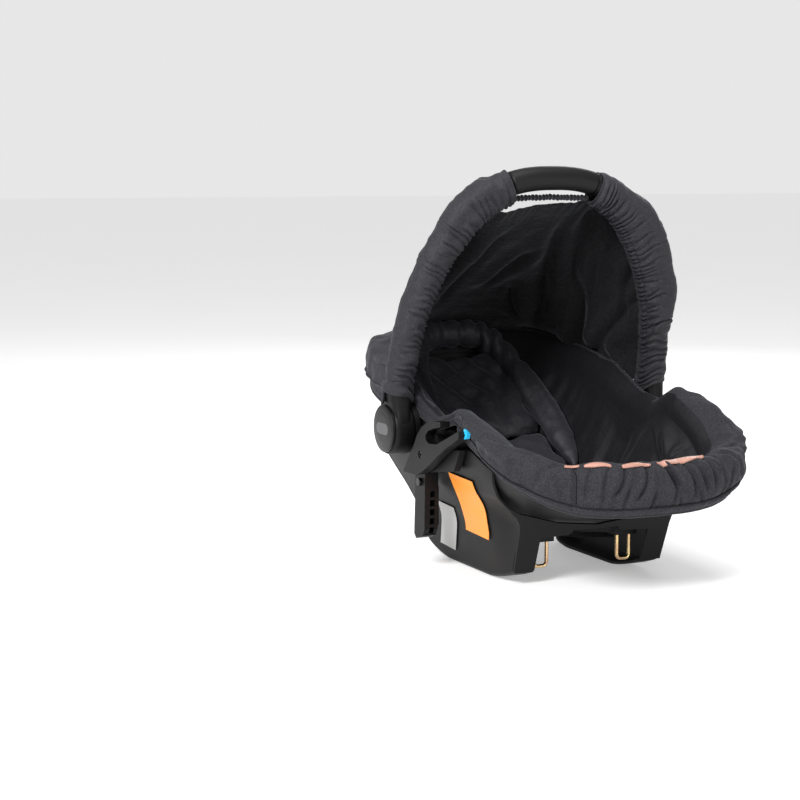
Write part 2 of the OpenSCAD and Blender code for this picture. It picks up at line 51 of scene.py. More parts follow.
# All lengths are millimetres, with Y measured from the handle's pivots.
ORIGIN_Y = 31.0  # the pivots' place along Y
PIVOT_Z = 193  # and their height
BUCKET_HALF = 172  # half of the bucket's width
FRONT_ROUND, REAR_ROUND = -190, 60  # places along Y where the bucket's plan begins to round off
BUCKET_FRONT, BUCKET_REAR = -338, 280
SIDES = {1: "right", -1: "left"}


# ------------------------------------------------------------------ shapes shared with the CAD source
# [place along Y, height] lists; SKIRT_X gives what the skirt adds to its width at a height
EDGE_Z = [[-336, 148], [-290, 156], [-240, 176], [-180, 198], [-60, 208], [0, 218], [60, 246], [140, 266],
          [220, 278], [280, 284]]
FLOOR_Z = [[-336, 146], [-326, 132], [-300, 118], [-240, 98], [-200, 82], [-150, 66], [-100, 58], [-40, 56],
           [20, 66], [60, 84], [120, 124], [180, 172], [240, 226], [262, 254], [274, 281]]
COVER_Z = [[-350, 177], [-300, 181], [-260, 192], [-229, 211], [-189, 228], [-150, 242], [-128, 243],
           [-106, 233], [-82, 222], [-50, 228], [-20, 240], [20, 258], [76, 273], [137, 284],
           [218, 299], [292, 303]]
FOOT_Z = [[-180, 19], [-150, 8], [-130, 3], [-110, 0], [15, 0], [35, 3], [55, 8], [74, 16], [84, 32],
          [92, 66], [98, 112], [106, 170]]
SKIRT_X = [[0, 0], [20, 2], [65, 10], [100, 28], [130, 47], [150, 58.5], [170, 63], [185, 64.5], [200, 65]]
HEM_Z = [[-350, -64], [-322, -59], [-299, -49], [-268, -42], [-235, -36], [-198, -31], [-175, -24],
         [-152, -16], [-79, -18], [-40, -22], [0, -28], [40, -34], [62, -62], [292, -62]]


def lookup(t, y):
    """Value of a [place, value] list at y, on straight lines between its rows."""
    t = np.array(t, float)
    return np.interp(y, t[:, 0], t[:, 1])


def smooth(t, y, d=12):
    """The same, with its corners rounded over d on both sides."""
    return (lookup(t, y - d) + 2 * lookup(t, y) + lookup(t, y + d)) / 4


def step01(a, b, v):
    """Soft step from 0 at a to 1 at b."""
    t = np.clip((np.asarray(v, float) - a) / (b - a), 0, 1)
    return t * t * (3 - 2 * t)


def mix(a, b, t):
    return a + (b - a) * t


def signed(v, power):
    return np.sign(v) * np.abs(v) ** power


def shell_w(y):
    """Half of the bucket's width at y."""
    y = np.asarray(y, float)
    ahead = np.clip(FRONT_ROUND - y, 0, None) / (FRONT_ROUND - BUCKET_FRONT)
    behind = np.clip(y - REAR_ROUND, 0, None) / (BUCKET_REAR - REAR_ROUND)
    f = np.clip(1 - ahead ** 2.5, 0, None) ** 0.4
    r = np.clip(1 - behind ** 2.2, 0, None) ** 0.4545
    return BUCKET_HALF * np.where(y < FRONT_ROUND, f, np.where(y > REAR_ROUND, r, 1))


BOWL_POWER = 2.174  # how square the bucket's section is; 2 would be an ellipse


def bowl_z(x, y, o):
    """Height of the bucket's inside, o inwards from its outside."""
    top, low, w = smooth(EDGE_Z, y), smooth(FLOOR_Z, y) + o, np.maximum(shell_w(y) - o, 1)
    across = np.clip(np.abs(x) / w, 0, 1)
    return top - (top - low) * np.clip(1 - across ** BOWL_POWER, 0, None) ** 0.46


LEAN = math.radians(12.7)  # of the handle, towards the front
ARCH_HALF, ARCH_HIGH = 202, 348  # the handle's arch at the middle of its tube
GRIP_HALF = 65


def on_handle(x, v, h):
    """A place in the handle's own plane: x across, v behind the plane, h up it from the pivots."""
    y = v * math.cos(LEAN) - h * math.sin(LEAN)
    return np.stack([x, y, PIVOT_Z + v * math.sin(LEAN) + h * math.cos(LEAN)], -1)


def arch(a):
    """Middle of the tube at a degrees round the arch: across, and up."""
    a = np.radians(a)
    return ARCH_HALF * signed(np.cos(a), 0.8), ARCH_HIGH * np.abs(np.sin(a)) ** 0.8


def arch_in(a):
    """Direction towards the inside of the arch."""
    x0, h0 = arch(np.asarray(a) - 0.5)
    x1, h1 = arch(np.asarray(a) + 0.5)
    dx, dh = x1 - x0, h1 - h0
    n = np.hypot(dx, dh)
    return -dh / n, dx / n


GRIP_A = math.degrees(math.acos((GRIP_HALF / ARCH_HALF) ** 1.25))  # where the grip starts on the arch
ARM_START = 6.8  # where the tube comes out of its hub


# ------------------------------------------------------------------ noise and folds
def _hash(i, j, k, seed):
    h = (i * 374761393 + j * 668265263 + k * 2147483647 + seed * 974634777) & 0xFFFFFFFF
    h = ((h ^ (h >> 13)) * 1274126177) & 0xFFFFFFFF
    h = (h ^ (h >> 16)) & 0xFFFFFF
    return h.astype(float) / 0x7FFFFF - 1


def noise(x, y, z=0.0, seed=0):
    """Smooth value noise from -1 to 1, the same on every run."""
    x, y, z = np.broadcast_arrays(np.asarray(x, float), np.asarray(y, float), np.asarray(z, float))
    i, j, k = (np.floor(q).astype(np.int64) for q in (x, y, z))
    f, g, h = x - i, y - j, z - k
    f, g, h = (q * q * (3 - 2 * q) for q in (f, g, h))
    out = 0
    for a in (0, 1):
        for b in (0, 1):
            for c in (0, 1):
                w = (f if a else 1 - f) * (g if b else 1 - g) * (h if c else 1 - h)
                out = out + w * _hash(i + a, j + b, k + c, seed)
    return out


def fold(u, v, u0, v0, u1, v1, width, depth, bow=0.0):
    """A crease along a line from (u0, v0) to (u1, v1), bowed to one side, with a soft ridge beside it."""
    du, dv = u1 - u0, v1 - v0
    length = math.hypot(du, dv)
    t = ((u - u0) * du + (v - v0) * dv) / length ** 2
    side = ((u - u0) * dv - (v - v0) * du) / length
    side = side - bow * np.clip(4 * t * (1 - t), -0.5, 1)
    along = step01(-0.08, 0.16, t) * (1 - step01(0.72, 1.08, t))
    groove = -np.exp(-(side / width) ** 2)
    near, far = (np.exp(-((side + k * width) / (1.5 * width)) ** 2) for k in (-1.9, 1.9))
    return depth * along * (groove + (0.55 * near + 0.35 * far))


# ------------------------------------------------------------------ meshes
def in_scene(ob):
    bpy.context.scene.collection.objects.link(ob)
    return ob


def mesh_object(name, verts, faces, material):
    """Smooth object from points in millimetres, with one material or a list of them."""
    pts = np.array(verts, float).reshape(-1, 3).copy()
    pts[:, 1] += ORIGIN_Y
    me = bpy.data.meshes.new(name)
    me.from_pydata((pts * 0.001).tolist(), [], faces)
    me.polygons.foreach_set("use_smooth", [True] * len(me.polygons))
    me.update()
    ob = in_scene(bpy.data.objects.new(name, me))
    for m in material if isinstance(material, (list, tuple)) else [material]:
        me.materials.append(m)
    return ob


def grid_faces(m, n, wrap_u, wrap_v, flip):
    idx = np.arange(m * n).reshape(m, n)
    if wrap_u:
        idx = np.concatenate([idx, idx[:1]], 0)
    if wrap_v:
        idx = np.concatenate([idx, idx[:, :1]], 1)
    q = np.stack([idx[:-1, :-1], idx[:-1, 1:], idx[1:, 1:], idx[1:, :-1]], -1).reshape(-1, 4)
    return (q[:, ::-1] if flip else q).tolist()


def grid_object(name, P, material, wrap_u=False, wrap_v=False, flip=False, caps=False):
    """Object from a grid of points, closed along either side, and capped at its first and last ring."""
    m, n = P.shape[:2]
    faces = grid_faces(m, n, wrap_u, wrap_v, flip)
    if caps:
        first, last = list(range(n)), [(m - 1) * n + j for j in range(n)]
        faces += [first if flip else first[::-1], last[::-1] if flip else last]
    return mesh_object(name, P, faces, material)


def normals(P, wrap_u=False):
    along = np.roll(P, -1, 0) - np.roll(P, 1, 0) if wrap_u else np.gradient(P, axis=0)
    n = np.cross(along, np.gradient(P, axis=1))
    return n / np.maximum(np.linalg.norm(n, axis=-1, keepdims=True), 1e-9)


def modifier(ob, kind, **settings):
    m = ob.modifiers.new(kind.lower(), kind)
    for k, v in settings.items():
        setattr(m, k, v)
    return m


def subdivide(ob, levels=1):
    modifier(ob, "SUBSURF", levels=levels, render_levels=levels)


def tube_points(path, r, n, high=None):
    """Rings of a tube around a path, r wide and, where its section is oval, high high on each side."""
    path = np.array(path, float)
    d = np.gradient(path, axis=0)
    d /= np.linalg.norm(d, axis=1)[:, None]
    side = np.cross(d, [0.0, 0.0, 1.0])
    side /= np.maximum(np.linalg.norm(side, axis=1)[:, None], 1e-9)
    top = np.cross(side, d)
    high = r if high is None else high
    wide, high = (np.broadcast_to(np.asarray(q, float), (len(path),)) for q in (r, high))
    a = np.linspace(0, 2 * math.pi, n, endpoint=False)
    return (path[:, None] + side[:, None] * (wide[:, None] * np.cos(a))[..., None]
            + top[:, None] * (high[:, None] * np.sin(a))[..., None])


def tube(name, path, r, material, n, closed=False):
    P = tube_points(path, r, n)
    return grid_object(name, P, material, wrap_u=closed, wrap_v=True, caps=not closed)


def softened(rows, rounds):
    """Points averaged with their neighbours, the first and the last held."""
    for _ in range(rounds):
        rows[1:-1] = (rows[:-2] + 2 * rows[1:-1] + rows[2:]) / 4
    return rows


def splines(k, count):
    """Catmull-Rom curves through the points of each row of k."""
    k = np.concatenate([2 * k[:, :1] - k[:, 1:2], k, 2 * k[:, -1:] - k[:, -2:-1]], 1)
    t = np.linspace(0, k.shape[1] - 3 - 1e-9, count)
    i = t.astype(int)
    f = (t - i)[None, :, None]
    a, b, c, d = k[:, i], k[:, i + 1], k[:, i + 2], k[:, i + 3]
    square, cube = (2 * a - 5 * b + 4 * c - d) * f ** 2, (3 * b - a - 3 * c + d) * f ** 3
    return 0.5 * (2 * b + (c - a) * f + square + cube)


def vertex_array(me, what):
    data = np.empty(len(me.vertices) * 3)
    me.vertices.foreach_get(what, data)
    return data.reshape(-1, 3)


# ------------------------------------------------------------------ materials
def new_material(name):
    """Material with its node tree, its shader, and the coordinates of the object that wears it."""
    m = bpy.data.materials.new(name)
    m.use_nodes = True
    nt = m.node_tree
    return m, nt, nt.nodes["Principled BSDF"], node(nt, "ShaderNodeTexCoord").outputs["Object"]


def fill(n, inputs):
    for k, v in inputs.items():
        n.inputs[k].default_value = v


def node(nt, kind, inputs=None, **settings):
    n = nt.nodes.new(kind)
    for k, v in settings.items():
        setattr(n, k, v)
    fill(n, inputs or {})
    return n


def texture(nt, kind, coords, inputs, **settings):
    n = node(nt, "ShaderNodeTex" + kind, inputs, **settings)
    nt.links.new(coords, n.inputs["Vector"])
    return n.outputs["Fac"]


def ramp(nt, fac, stops):
    r = nt.nodes.new("ShaderNodeValToRGB")
    el = r.color_ramp.elements
    while len(el) < len(stops):
        el.new(0.5)
    for e, (p, c) in zip(el, stops):
        e.position = p
        e.color = (*c, 1)
    nt.links.new(fac, r.inputs["Fac"])
    return r.outputs["Color"]


def scaled(c, k):
    return tuple(min(1, q * k) for q in c)


def add_height(nt, heights, more, amount):
    add = node(nt, "ShaderNodeMath", {1: amount}, operation="MULTIPLY_ADD")
    nt.links.new(more, add.inputs[0])
    nt.links.new(heights, add.inputs[2])
    return add.outputs[0]


def bump_map(nt, height, strength, distance, under=None):
    b = node(nt, "ShaderNodeBump", {"Strength": strength, "Distance": distance})
    nt.links.new(height, b.inputs["Height"])
    if under:
        nt.links.new(under, b.inputs["Normal"])
    return b.outputs["Normal"]


def roughness(nt, bsdf, fac, low, high):
    rr = node(nt, "ShaderNodeMapRange", {"To Min": low, "To Max": high})
    nt.links.new(fac, rr.inputs["Value"])
    nt.links.new(rr.outputs["Result"], bsdf.inputs["Roughness"])


def fabric(name, color, speckle=0.45, cell=1.1, rough=0.85, sheen=0.3, bump=0.35, wrinkle=0.0, twill=0.0,
           tint=(0.8, 0.82, 0.9), spec=0.25):
    """Cloth: yarn speckle, a fine weave in the bump, slow shade variation, small wrinkles, twill lines.

    cell is the size of the yarn's speckle in millimetres.
    """
    m, nt, bsdf, obj = new_material(name)
    yarn = texture(nt, "Noise", obj, {"Scale": 1000 / cell, "Detail": 2.5, "Roughness": 0.65})
    slow = texture(nt, "Noise", obj, {"Scale": 22.0, "Detail": 3.0, "Roughness": 0.55})
    speckled = ramp(nt, yarn, [(0.3, scaled(color, 1 - speckle)), (0.5, color),
                               (0.72, scaled(color, 1 + 1.6 * speckle))])
    shade = ramp(nt, slow, [(0.3, (0.82, 0.82, 0.82)), (0.7, (1, 1, 1))])
    mul = node(nt, "ShaderNodeMix", {"Factor": 1}, data_type="RGBA", blend_type="MULTIPLY")
    nt.links.new(speckled, mul.inputs["A"])
    nt.links.new(shade, mul.inputs["B"])
    nt.links.new(mul.outputs["Result"], bsdf.inputs["Base Color"])
    heights = yarn
    for axis, scale in (("X", 1.0), ("Z", 0.93)):
        weave = texture(nt, "Wave", obj, {"Scale": 90.0 * scale / cell, "Distortion": 0.6, "Detail": 1.0},
                        wave_type="BANDS", bands_direction=axis)
        heights = add_height(nt, heights, weave, 0.35)
    if twill:
        lines = texture(nt, "Wave", obj, {"Scale": 200.0, "Distortion": 0.3}, wave_type="BANDS",
                        bands_direction="DIAGONAL")
        heights = add_height(nt, heights, lines, twill)
    creased = None
    if wrinkle:
        soft = {"Scale": 85.0, "Detail": 2.0, "Roughness": 0.5, "Distortion": 0.8}
        creased = bump_map(nt, texture(nt, "Noise", obj, soft), wrinkle, 0.004)
    nt.links.new(bump_map(nt, heights, bump, 0.0004, creased), bsdf.inputs["Normal"])
    roughness(nt, bsdf, slow, rough - 0.06, min(1, rough + 0.06))
    fill(bsdf, {"Sheen Weight": sheen, "Sheen Roughness": 0.45, "Sheen Tint": (*tint, 1),
                "Specular IOR Level": spec})
    return m


def plastic(name, color, rough=0.45, grain=0.25, cell=0.7, spec=0.5, vary=0.12):
    """Moulded plastic: fine leather-like grain, slow gloss variation and slight colour variation."""
    m, nt, bsdf, obj = new_material(name)
    fine = texture(nt, "Noise", obj, {"Scale": 1000 / cell, "Detail": 2.0, "Roughness": 0.6})
    slow = texture(nt, "Noise", obj, {"Scale": 14.0, "Detail": 4.0, "Roughness": 0.6})
    tone = ramp(nt, slow, [(0.25, scaled(color, 1 - vary)), (0.75, scaled(color, 1 + vary))])
    nt.links.new(tone, bsdf.inputs["Base Color"])
    roughness(nt, bsdf, slow, rough - 0.05, rough + 0.07)
    nt.links.new(bump_map(nt, fine, grain, 0.0002), bsdf.inputs["Normal"])
    fill(bsdf, {"Specular IOR Level": spec})
    return m


def metal(name, color, rough=0.3, vary=0.15, tone=None):
    """Plated or plain metal with fine scratches, and tone as its second colour."""
    m, nt, bsdf, obj = new_material(name)
    slow = texture(nt, "Noise", obj, {"Scale": 60.0, "Detail": 4.0, "Roughness": 0.6})
    scratch = texture(nt, "Noise", obj, {"Scale": 900.0, "Detail": 2.0})
    shade = ramp(nt, slow, [(0.35, scaled(color, 1 - vary)), (0.65, tone or color)])
    nt.links.new(shade, bsdf.inputs["Base Color"])
    roughness(nt, bsdf, slow, rough - 0.08, rough + 0.1)
    nt.links.new(bump_map(nt, scratch, 0.06, 0.0002), bsdf.inputs["Normal"])
    fill(bsdf, {"Metallic": 1})
    return m


M = {
    "shell": plastic("shell_black", (0.0044, 0.0044, 0.0048), rough=0.5, grain=0.3, cell=0.9, spec=0.18),
    "cap": plastic("cap_black", (0.0050, 0.0050, 0.0054), rough=0.36, grain=0.12, cell=0.6, spec=0.27),
    "part": plastic("part_black", (0.0030, 0.0030, 0.0033), rough=0.46, grain=0.3, cell=0.8, spec=0.17),
    "badge": plastic("badge_grey", (0.055, 0.055, 0.058), rough=0.34, grain=0.08),
    "rubber": plastic("grip_rubber", (0.0048, 0.0048, 0.0052), rough=0.52, grain=0.5, cell=1.2, spec=0.21),
    "cover": fabric("cover_cloth", (0.0192, 0.0192, 0.0230), speckle=0.62, cell=1.6, wrinkle=0.36,
                    sheen=0.06),
    # the liner's cloth, its colour darkened to paint the shade inside the bucket
    "liner": fabric("liner_cloth_painted_shade", (0.0050, 0.0050, 0.0066), speckle=0.35, rough=0.66, wrinkle=0.24,
                    sheen=0.05),
    "insert": fabric("insert_satin", (0.0215, 0.0215, 0.0262), speckle=0.3, cell=0.9, rough=0.58,
                     wrinkle=0.30, sheen=0.10, twill=0.25, spec=0.36),
    "canopy": fabric("canopy_cloth", (0.0172, 0.0172, 0.0210), speckle=0.55, cell=1.5, rough=0.70,
                     wrinkle=0.36, sheen=0.07, spec=0.3),
    # terry lining of the canopy, its colour darkened to paint the shade inside the hood
    "terry": fabric("canopy_lining_painted_shade", (0.0048, 0.0048, 0.0060), speckle=0.9, cell=2.6, rough=0.85,
                    wrinkle=0.42, sheen=0.10, bump=1.0),
    "elastic": fabric("gathered_elastic", (0.0130, 0.0130, 0.0155), speckle=0.4, cell=0.9, wrinkle=0.2),
    "binding": fabric("hem_binding", (0.014, 0.014, 0.016), speckle=0.3, cell=0.8, rough=0.75, sheen=0.15),
    "piping": fabric("piping_cloth", (0.008, 0.008, 0.010), speckle=0.3, cell=0.8, rough=0.7, sheen=0.3),
    "webbing": fabric("webbing_black", (0.010, 0.010, 0.011), speckle=0.3, cell=0.9, rough=0.6,
                      sheen=0.1, twill=0.5),
    "ribbon": fabric("ribbon_rose", (0.46, 0.23, 0.17), speckle=0.12, cell=0.7, rough=0.42, sheen=0.1,
                     twill=0.3, spec=0.6, tint=(1, 0.9, 0.85)),
    "thread": fabric("seam_thread", (0.003, 0.003, 0.0035), speckle=0.3, cell=0.8, sheen=0.02),
    "wire": metal("plated_wire", (0.72, 0.44, 0.27), rough=0.26, vary=0.25, tone=(0.80, 0.62, 0.30)),
    "gunmetal": metal("gunmetal", (0.06, 0.06, 0.062), rough=0.38),
    "zinc": metal("zinc_steel", (0.55, 0.55, 0.56), rough=0.34),
    "foam": plastic("foam_beads", (0.55, 0.55, 0.54), rough=0.85, grain=1.0, cell=3.5, spec=0.2),
    "cyan": plastic("marker_cyan", (0.02, 0.42, 0.72), rough=0.32, grain=0.06),
    "orange": plastic("label_orange", (0.88, 0.28, 0.012), rough=0.38, grain=0.05, spec=0.5, vary=0.06),
    "grey": plastic("label_grey", (0.40, 0.40, 0.39), rough=0.42, grain=0.05, vary=0.05),
    "red": plastic("button_red", (0.30, 0.018, 0.014), rough=0.35, grain=0.05),
    "nylon": plastic("gear_nylon", (0.50, 0.49, 0.45), rough=0.45, grain=0.1),
}


def finish_piece(ob, body, replaces=()):
    """The piece rides on its body, and the CAD parts that it replaces are hidden."""
    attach(ob, body)
    if replaces:
        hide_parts(*replaces)
    return ob


# ------------------------------------------------------------------ camera, floor and light
cam_data = bpy.data.cameras.new("camera")
cam_data.lens = 85.59
cam_data.sensor_width = 36
cam = in_scene(bpy.data.objects.new("camera", cam_data))
cam.location = (-1.27476, -2.31358, 0.5482)
cam.rotation_euler = Vector((0.41597, 0.90118, -0.12190)).to_track_quat("-Z", "Y").to_euler()
bpy.context.scene.camera = cam

world = bpy.data.worlds.new("studio")
world.use_nodes = True
wt = world.node_tree
ambient = wt.nodes["Background"]
fill(ambient, {"Color": (1, 1, 1, 1), "Strength": 0.48})
backdrop = node(wt, "ShaderNodeBackground", {"Strength": 1.0})
seen = wt.nodes.new("ShaderNodeMixShader")
wt.links.new(wt.nodes.new("ShaderNodeLightPath").outputs["Is Camera Ray"], seen.inputs[0])
wt.links.new(ambient.outputs[0], seen.inputs[1])
wt.links.new(backdrop.outputs[0], seen.inputs[2])
wt.links.new(seen.outputs[0], wt.nodes["World Output"].inputs["Surface"])
bpy.context.scene.world = world
bpy.context.scene.view_settings.view_transform = "Standard"


def area_light(name, loc, target, size, power):
    data = bpy.data.lights.new(name, "AREA")
    data.shape = "RECTANGLE"
    data.size, data.size_y = size
    data.energy = power
    ob = in_scene(bpy.data.objects.new(name, data))
    ob.location = loc
    ob.rotation_euler = (Vector(target) - Vector(loc)).to_track_quat("-Z", "Y").to_euler()


area_light("key_left", (-2.3, -1.6, 1.9), (0, 0, 0.25), (0.9, 0.7), 104)
area_light("top_soft", (-0.1, -0.5, 2.6), (0, 0, 0.2), (1.4, 1.4), 40)
area_light("front_fill", (0.5, -2.8, 0.7), (0, 0, 0.25), (1.2, 0.9), 13)
area_light("rear_rim", (1.6, 2.0, 1.6), (0, 0, 0.3), (1.2, 1.0), 16)

floor_mat, nt, bsdf, floor_obj = new_material("floor_pale")
mottle = texture(nt, "Noise", floor_obj, {"Scale": 3.0, "Detail": 2.0})
pale = ramp(nt, mottle, [(0.3, (0.86, 0.86, 0.86)), (0.7, (0.88, 0.88, 0.88))])
nt.links.new(pale, bsdf.inputs["Base Color"])
fill(bsdf, {"Roughness": 0.9, "Specular IOR Level": 0.1, "Emission Color": (1, 1, 1, 1),
            "Emission Strength": 0.34})
FLOOR_HALF = 30000
corners = [(x * FLOOR_HALF, y * FLOOR_HALF, 0) for x, y in ((-1, -1), (1, -1), (1, 1), (-1, 1))]
floor = mesh_object("floor", corners, [(0, 1, 2, 3)], floor_mat)


# ------------------------------------------------------------------ cover: rim, lip and wings
HALF = 300  # samples of half of the loop around the bucket
FRONT_REACH, REAR_REACH = 145, 220  # how far the loop's rounds run out


def loop_line():
    """The loop round the bucket's edge: points, outward directions, and distances from the front."""
    a = np.radians(np.linspace(0, 90, 500))
    front = np.stack([BUCKET_HALF * np.sin(a) ** 0.8, FRONT_ROUND - FRONT_REACH * np.cos(a) ** 0.8], 1)
    side_y = np.linspace(FRONT_ROUND, REAR_ROUND, 202)[1:-1]
    side = np.stack([np.full(len(side_y), float(BUCKET_HALF)), side_y], 1)
    rear = np.stack([BUCKET_HALF * np.cos(a) ** 0.909, REAR_ROUND + REAR_REACH * np.sin(a) ** 0.909], 1)
    h = np.concatenate([front, side, rear])
    s = np.concatenate([[0], np.cumsum(np.linalg.norm(np.diff(h, axis=0), axis=1))])
    u = np.linspace(0, s[-1], HALF)
    h = np.stack([np.interp(u, s, h[:, 0]), np.interp(u, s, h[:, 1])], 1)
    loop = np.concatenate([h, h[-2:0:-1] * [-1, 1]])
    d = np.roll(loop, -1, 0) - np.roll(loop, 1, 0)
    out = np.stack([d[:, 1], -d[:, 0]], 1)
    for _ in range(6):
        out = np.roll(out, 1, 0) + 2 * out + np.roll(out, -1, 0)
    out /= np.linalg.norm(out, axis=1)[:, None]
    return loop, out, np.concatenate([u, -u[-2:0:-1]])


LOOP, LOOP_OUT, LOOP_U = loop_line()
LY = LOOP[:, 1]
# how far the lip and the wings lean out over the bucket
FLARE = 9 + 6 * step01(-300, -262, LY) * (1 - step01(-215, -180, LY))
FLARE = FLARE * step01(-305, -250, LY) * (1 - step01(-166, -152, LY))
# the cloth lies unevenly: [y, lift on the left, lift on the right]
LIE = np.array([[-320, 0, 0], [-285, 6, -2], [-245, 8, -4], [-205, 2, 0], [-165, -7, 3], [-130, -12, 3],
                [-100, -9, 0], [-60, 0, 0]], float)
WING_LIFT = np.where(LOOP[:, 0] < 0, smooth(LIE[:, [0, 1]], LY), smooth(LIE[:, [0, 2]], LY))


def rear_droop(x, y):
    """The left rear corner sits lower."""
    return 7 * step01(20, -120, x) * step01(60, 140, y)


# height of the rim's top, and of its hem below that
COVER_TOP = smooth(COVER_Z, LY, 14) + WING_LIFT - rear_droop(LOOP[:, 0], LY)
HEM = smooth(HEM_Z, LY, 10) + rear_droop(LOOP[:, 0], LY) + 4 * step01(20, 80, LY)


def rim_section(rows):
    """Section of the rim at each place round the loop: out from the bucket, up from the cover's top."""
    hem, f = HEM, FLARE
    out = mix(18.6 + 4.5 * step01(-318, -290, LY), 15.2, step01(-236, -212, LY))

    def pts(p):
        return np.stack([np.stack([a + 0 * LY, b + 0 * LY], -1) for a, b in p], 1)

    front = pts([(8, hem - 0.5), (12, hem - 2), (out - 2.2, hem + 3), (out - 1.0, hem * 0.80),
                 (out + 0.4, hem * 0.60), (out + 0.2 + 0.15 * f, hem * 0.42),
                 (out - 1.5 + 0.55 * f, hem * 0.24), (out - 6 + f, -5.5), (6 + f, -0.5), (-3 + f, 2.0),
                 (-13 + 0.75 * f, -0.5), (-22 + 0.3 * f, -8), (-28.5, -20), (-31, -36)])
    rear = pts([(5.2, hem - 1), (6.0, hem - 2), (7, hem + 5), (8.1, hem * 0.8), (8.4, hem * 0.6),
                (8.2, hem * 0.42), (7.2, hem * 0.25), (4.6, -5.5), (0.5, -1), (-5, 0.4), (-12, -1.6),
                (-19, -8), (-25, -20), (-30, -36)])
    slim = pts([(0.9, hem), (3.4, hem - 0.7), (4.7, hem * 0.9), (4.9, hem * 0.74), (4.9, hem * 0.6),
                (4.5, hem * 0.45), (3.6, hem * 0.28), (1.6, -1.8), (-1, -0.2), (-4, 0.5), (-9, -1.2),
                (-17, -7), (-25, -19), (-30, -36)])
    beside = (step01(-160, -148, LY) * (1 - step01(40, 62, LY)))[:, None, None]
    behind = step01(0, 40, LY)[:, None, None]
    return splines(mix(mix(front, rear, behind), slim, beside), rows)


RIM_ROWS = 58
HEM_ROW, OUTER_ROW, TOP_ROW = 8, 20, 41  # TOP_ROW is the inner edge of the top, where the piping runs
SEC = rim_section(RIM_ROWS)
RIM = np.concatenate([LOOP[:, None, :] + LOOP_OUT[:, None, :] * SEC[..., :1],
                      COVER_TOP[:, None, None] + SEC[..., 1:]], -1)
RIM_N = normals(RIM, wrap_u=True)
if (RIM_N[:, OUTER_ROW, :2] * LOOP_OUT).sum() < 0:
    RIM_N = -RIM_N
RIM_V = np.cumsum(np.linalg.norm(np.diff(RIM, axis=1), axis=2), 1)
RIM_V = np.concatenate([np.zeros((len(RIM), 1)), RIM_V], 1)
RIM_V = RIM_V - RIM_V[:, HEM_ROW:HEM_ROW + 1]  # distance up the outside from the hem
TOP_V = RIM_V[:, TOP_ROW:TOP_ROW + 1]
UU = np.broadcast_to(LOOP_U[:, None], RIM_V.shape)
YY = RIM[..., 1]
lip = step01(-282, -306, YY)
front_zone = step01(-150, -190, YY)
SEAM_X = 101  # where the two seams that cross the lip start at the hem
SEAM_U = float(np.interp(SEAM_X, LOOP[:HALF // 2, 0], LOOP_U[:HALF // 2]))
between = 1 - step01(SEAM_U - 6, SEAM_U, np.abs(UU))


def rim_relief():
    X, Y, Z = RIM[..., 0], RIM[..., 1], RIM[..., 2]
    outer = step01(0, 10, RIM_V) * (1 - step01(-2, 22, RIM_V - TOP_V)) * (1 - 0.8 * step01(40, 100, YY))
    d = 3.4 * noise(X / 34, Y / 34, Z / 30, 3) * outer
    d += 1.7 * noise(X / 15, Y / 15, Z / 15, 5) * outer * mix(0.4, 1, front_zone)
    # padding swells between the seams
    d += 2.6 * lip * between * np.sin(np.pi * np.clip(RIM_V / np.maximum(TOP_V, 1), 0, 1)) ** 0.8
    # folds of the lip between the two seams: [from u, v, to u, v, width, depth, bow]
    folds = [(-62, 60, -70, 8, 3.2, 1.5, 4), (-44, 64, -60, 22, 3.4, 1.9, -5),
             (-38, 34, -46, 4, 2.8, 1.5, 2), (-14, 62, -32, 16, 3.4, 2.1, -6),
             (2, 66, 22, 10, 3.6, 3.0, -7), (10, 64, 40, 22, 3.0, 2.2, 5), (22, 40, 34, 6, 2.6, 1.8, 0),
             (36, 66, 52, 14, 3.4, 2.4, -5), (48, 62, 72, 20, 3.0, 1.8, -4),
             (58, 34, 66, 6, 2.8, 1.5, 2), (70, 66, 84, 20, 3.2, 2.0, -5),
             (82, 62, 96, 34, 2.6, 1.4, -3), (-84, 56, -90, 14, 2.8, 1.2, 3),
             (-4, 30, -10, 4, 2.6, 1.4, 0)]
    for u0, v0, u1, v1, w, depth, bow in folds:
        d += 3.5 * fold(UU, RIM_V, u0, v0, u1, v1, 0.95 * w, depth, bow) * between * lip
    # folds outside the seams, into the corners and the wings
    sides = [(128, 40, 116, 4, 3.0, 1.2, 3), (140, 44, 150, 12, 3.2, 1.3, 3),
             (170, 40, 182, 8, 3.4, 1.4, 4), (205, 40, 214, 10, 3.6, 1.1, 3),
             (118, 62, 138, 34, 3.4, 1.5, -3), (240, 34, 236, 8, 3.4, 0.8, 2),
             (152, 66, 176, 50, 3.8, 1.4, 2), (190, 60, 216, 48, 4.0, 1.3, 2)]
    for u0, v0, u1, v1, w, depth, bow in sides:
        for s, k in ((1, 2.9), (-1, 2.3)):
            d += k * fold(s * UU, RIM_V, u0, v0, u1, v1, w, depth, bow) * (1 - between)
    # gathers where the hem seam pulls the cloth in
    g = noise(UU / 5.5, 0, 0, 11) + 0.7 * noise(UU / 3.1, 4, 0, 12)
    d += 0.75 * g * np.exp(-((RIM_V - 4) / 7) ** 2) * mix(0.35, 1, front_zone)
    # seams: hem stitching, and the two that cross the lip
    d -= 1.5 * np.exp(-((RIM_V - 7) / 1.6) ** 2) * step01(10, 22, -HEM[:, None])
    above, below = step01(6, 12, RIM_V), 1 - step01(4, 14, RIM_V - TOP_V)
    for s in (1, -1):
        across = (UU - s * SEAM_U - 6 * s * step01(45, 75, RIM_V)) / 1.7
        d -= 3.8 * np.exp(-across ** 2) * lip * above * below
        d += 0.9 * np.exp(-((np.abs(across) - 2.6) / 1.4) ** 2) * lip * above * below
    return d


RIM = RIM + RIM_N * rim_relief()[..., None]


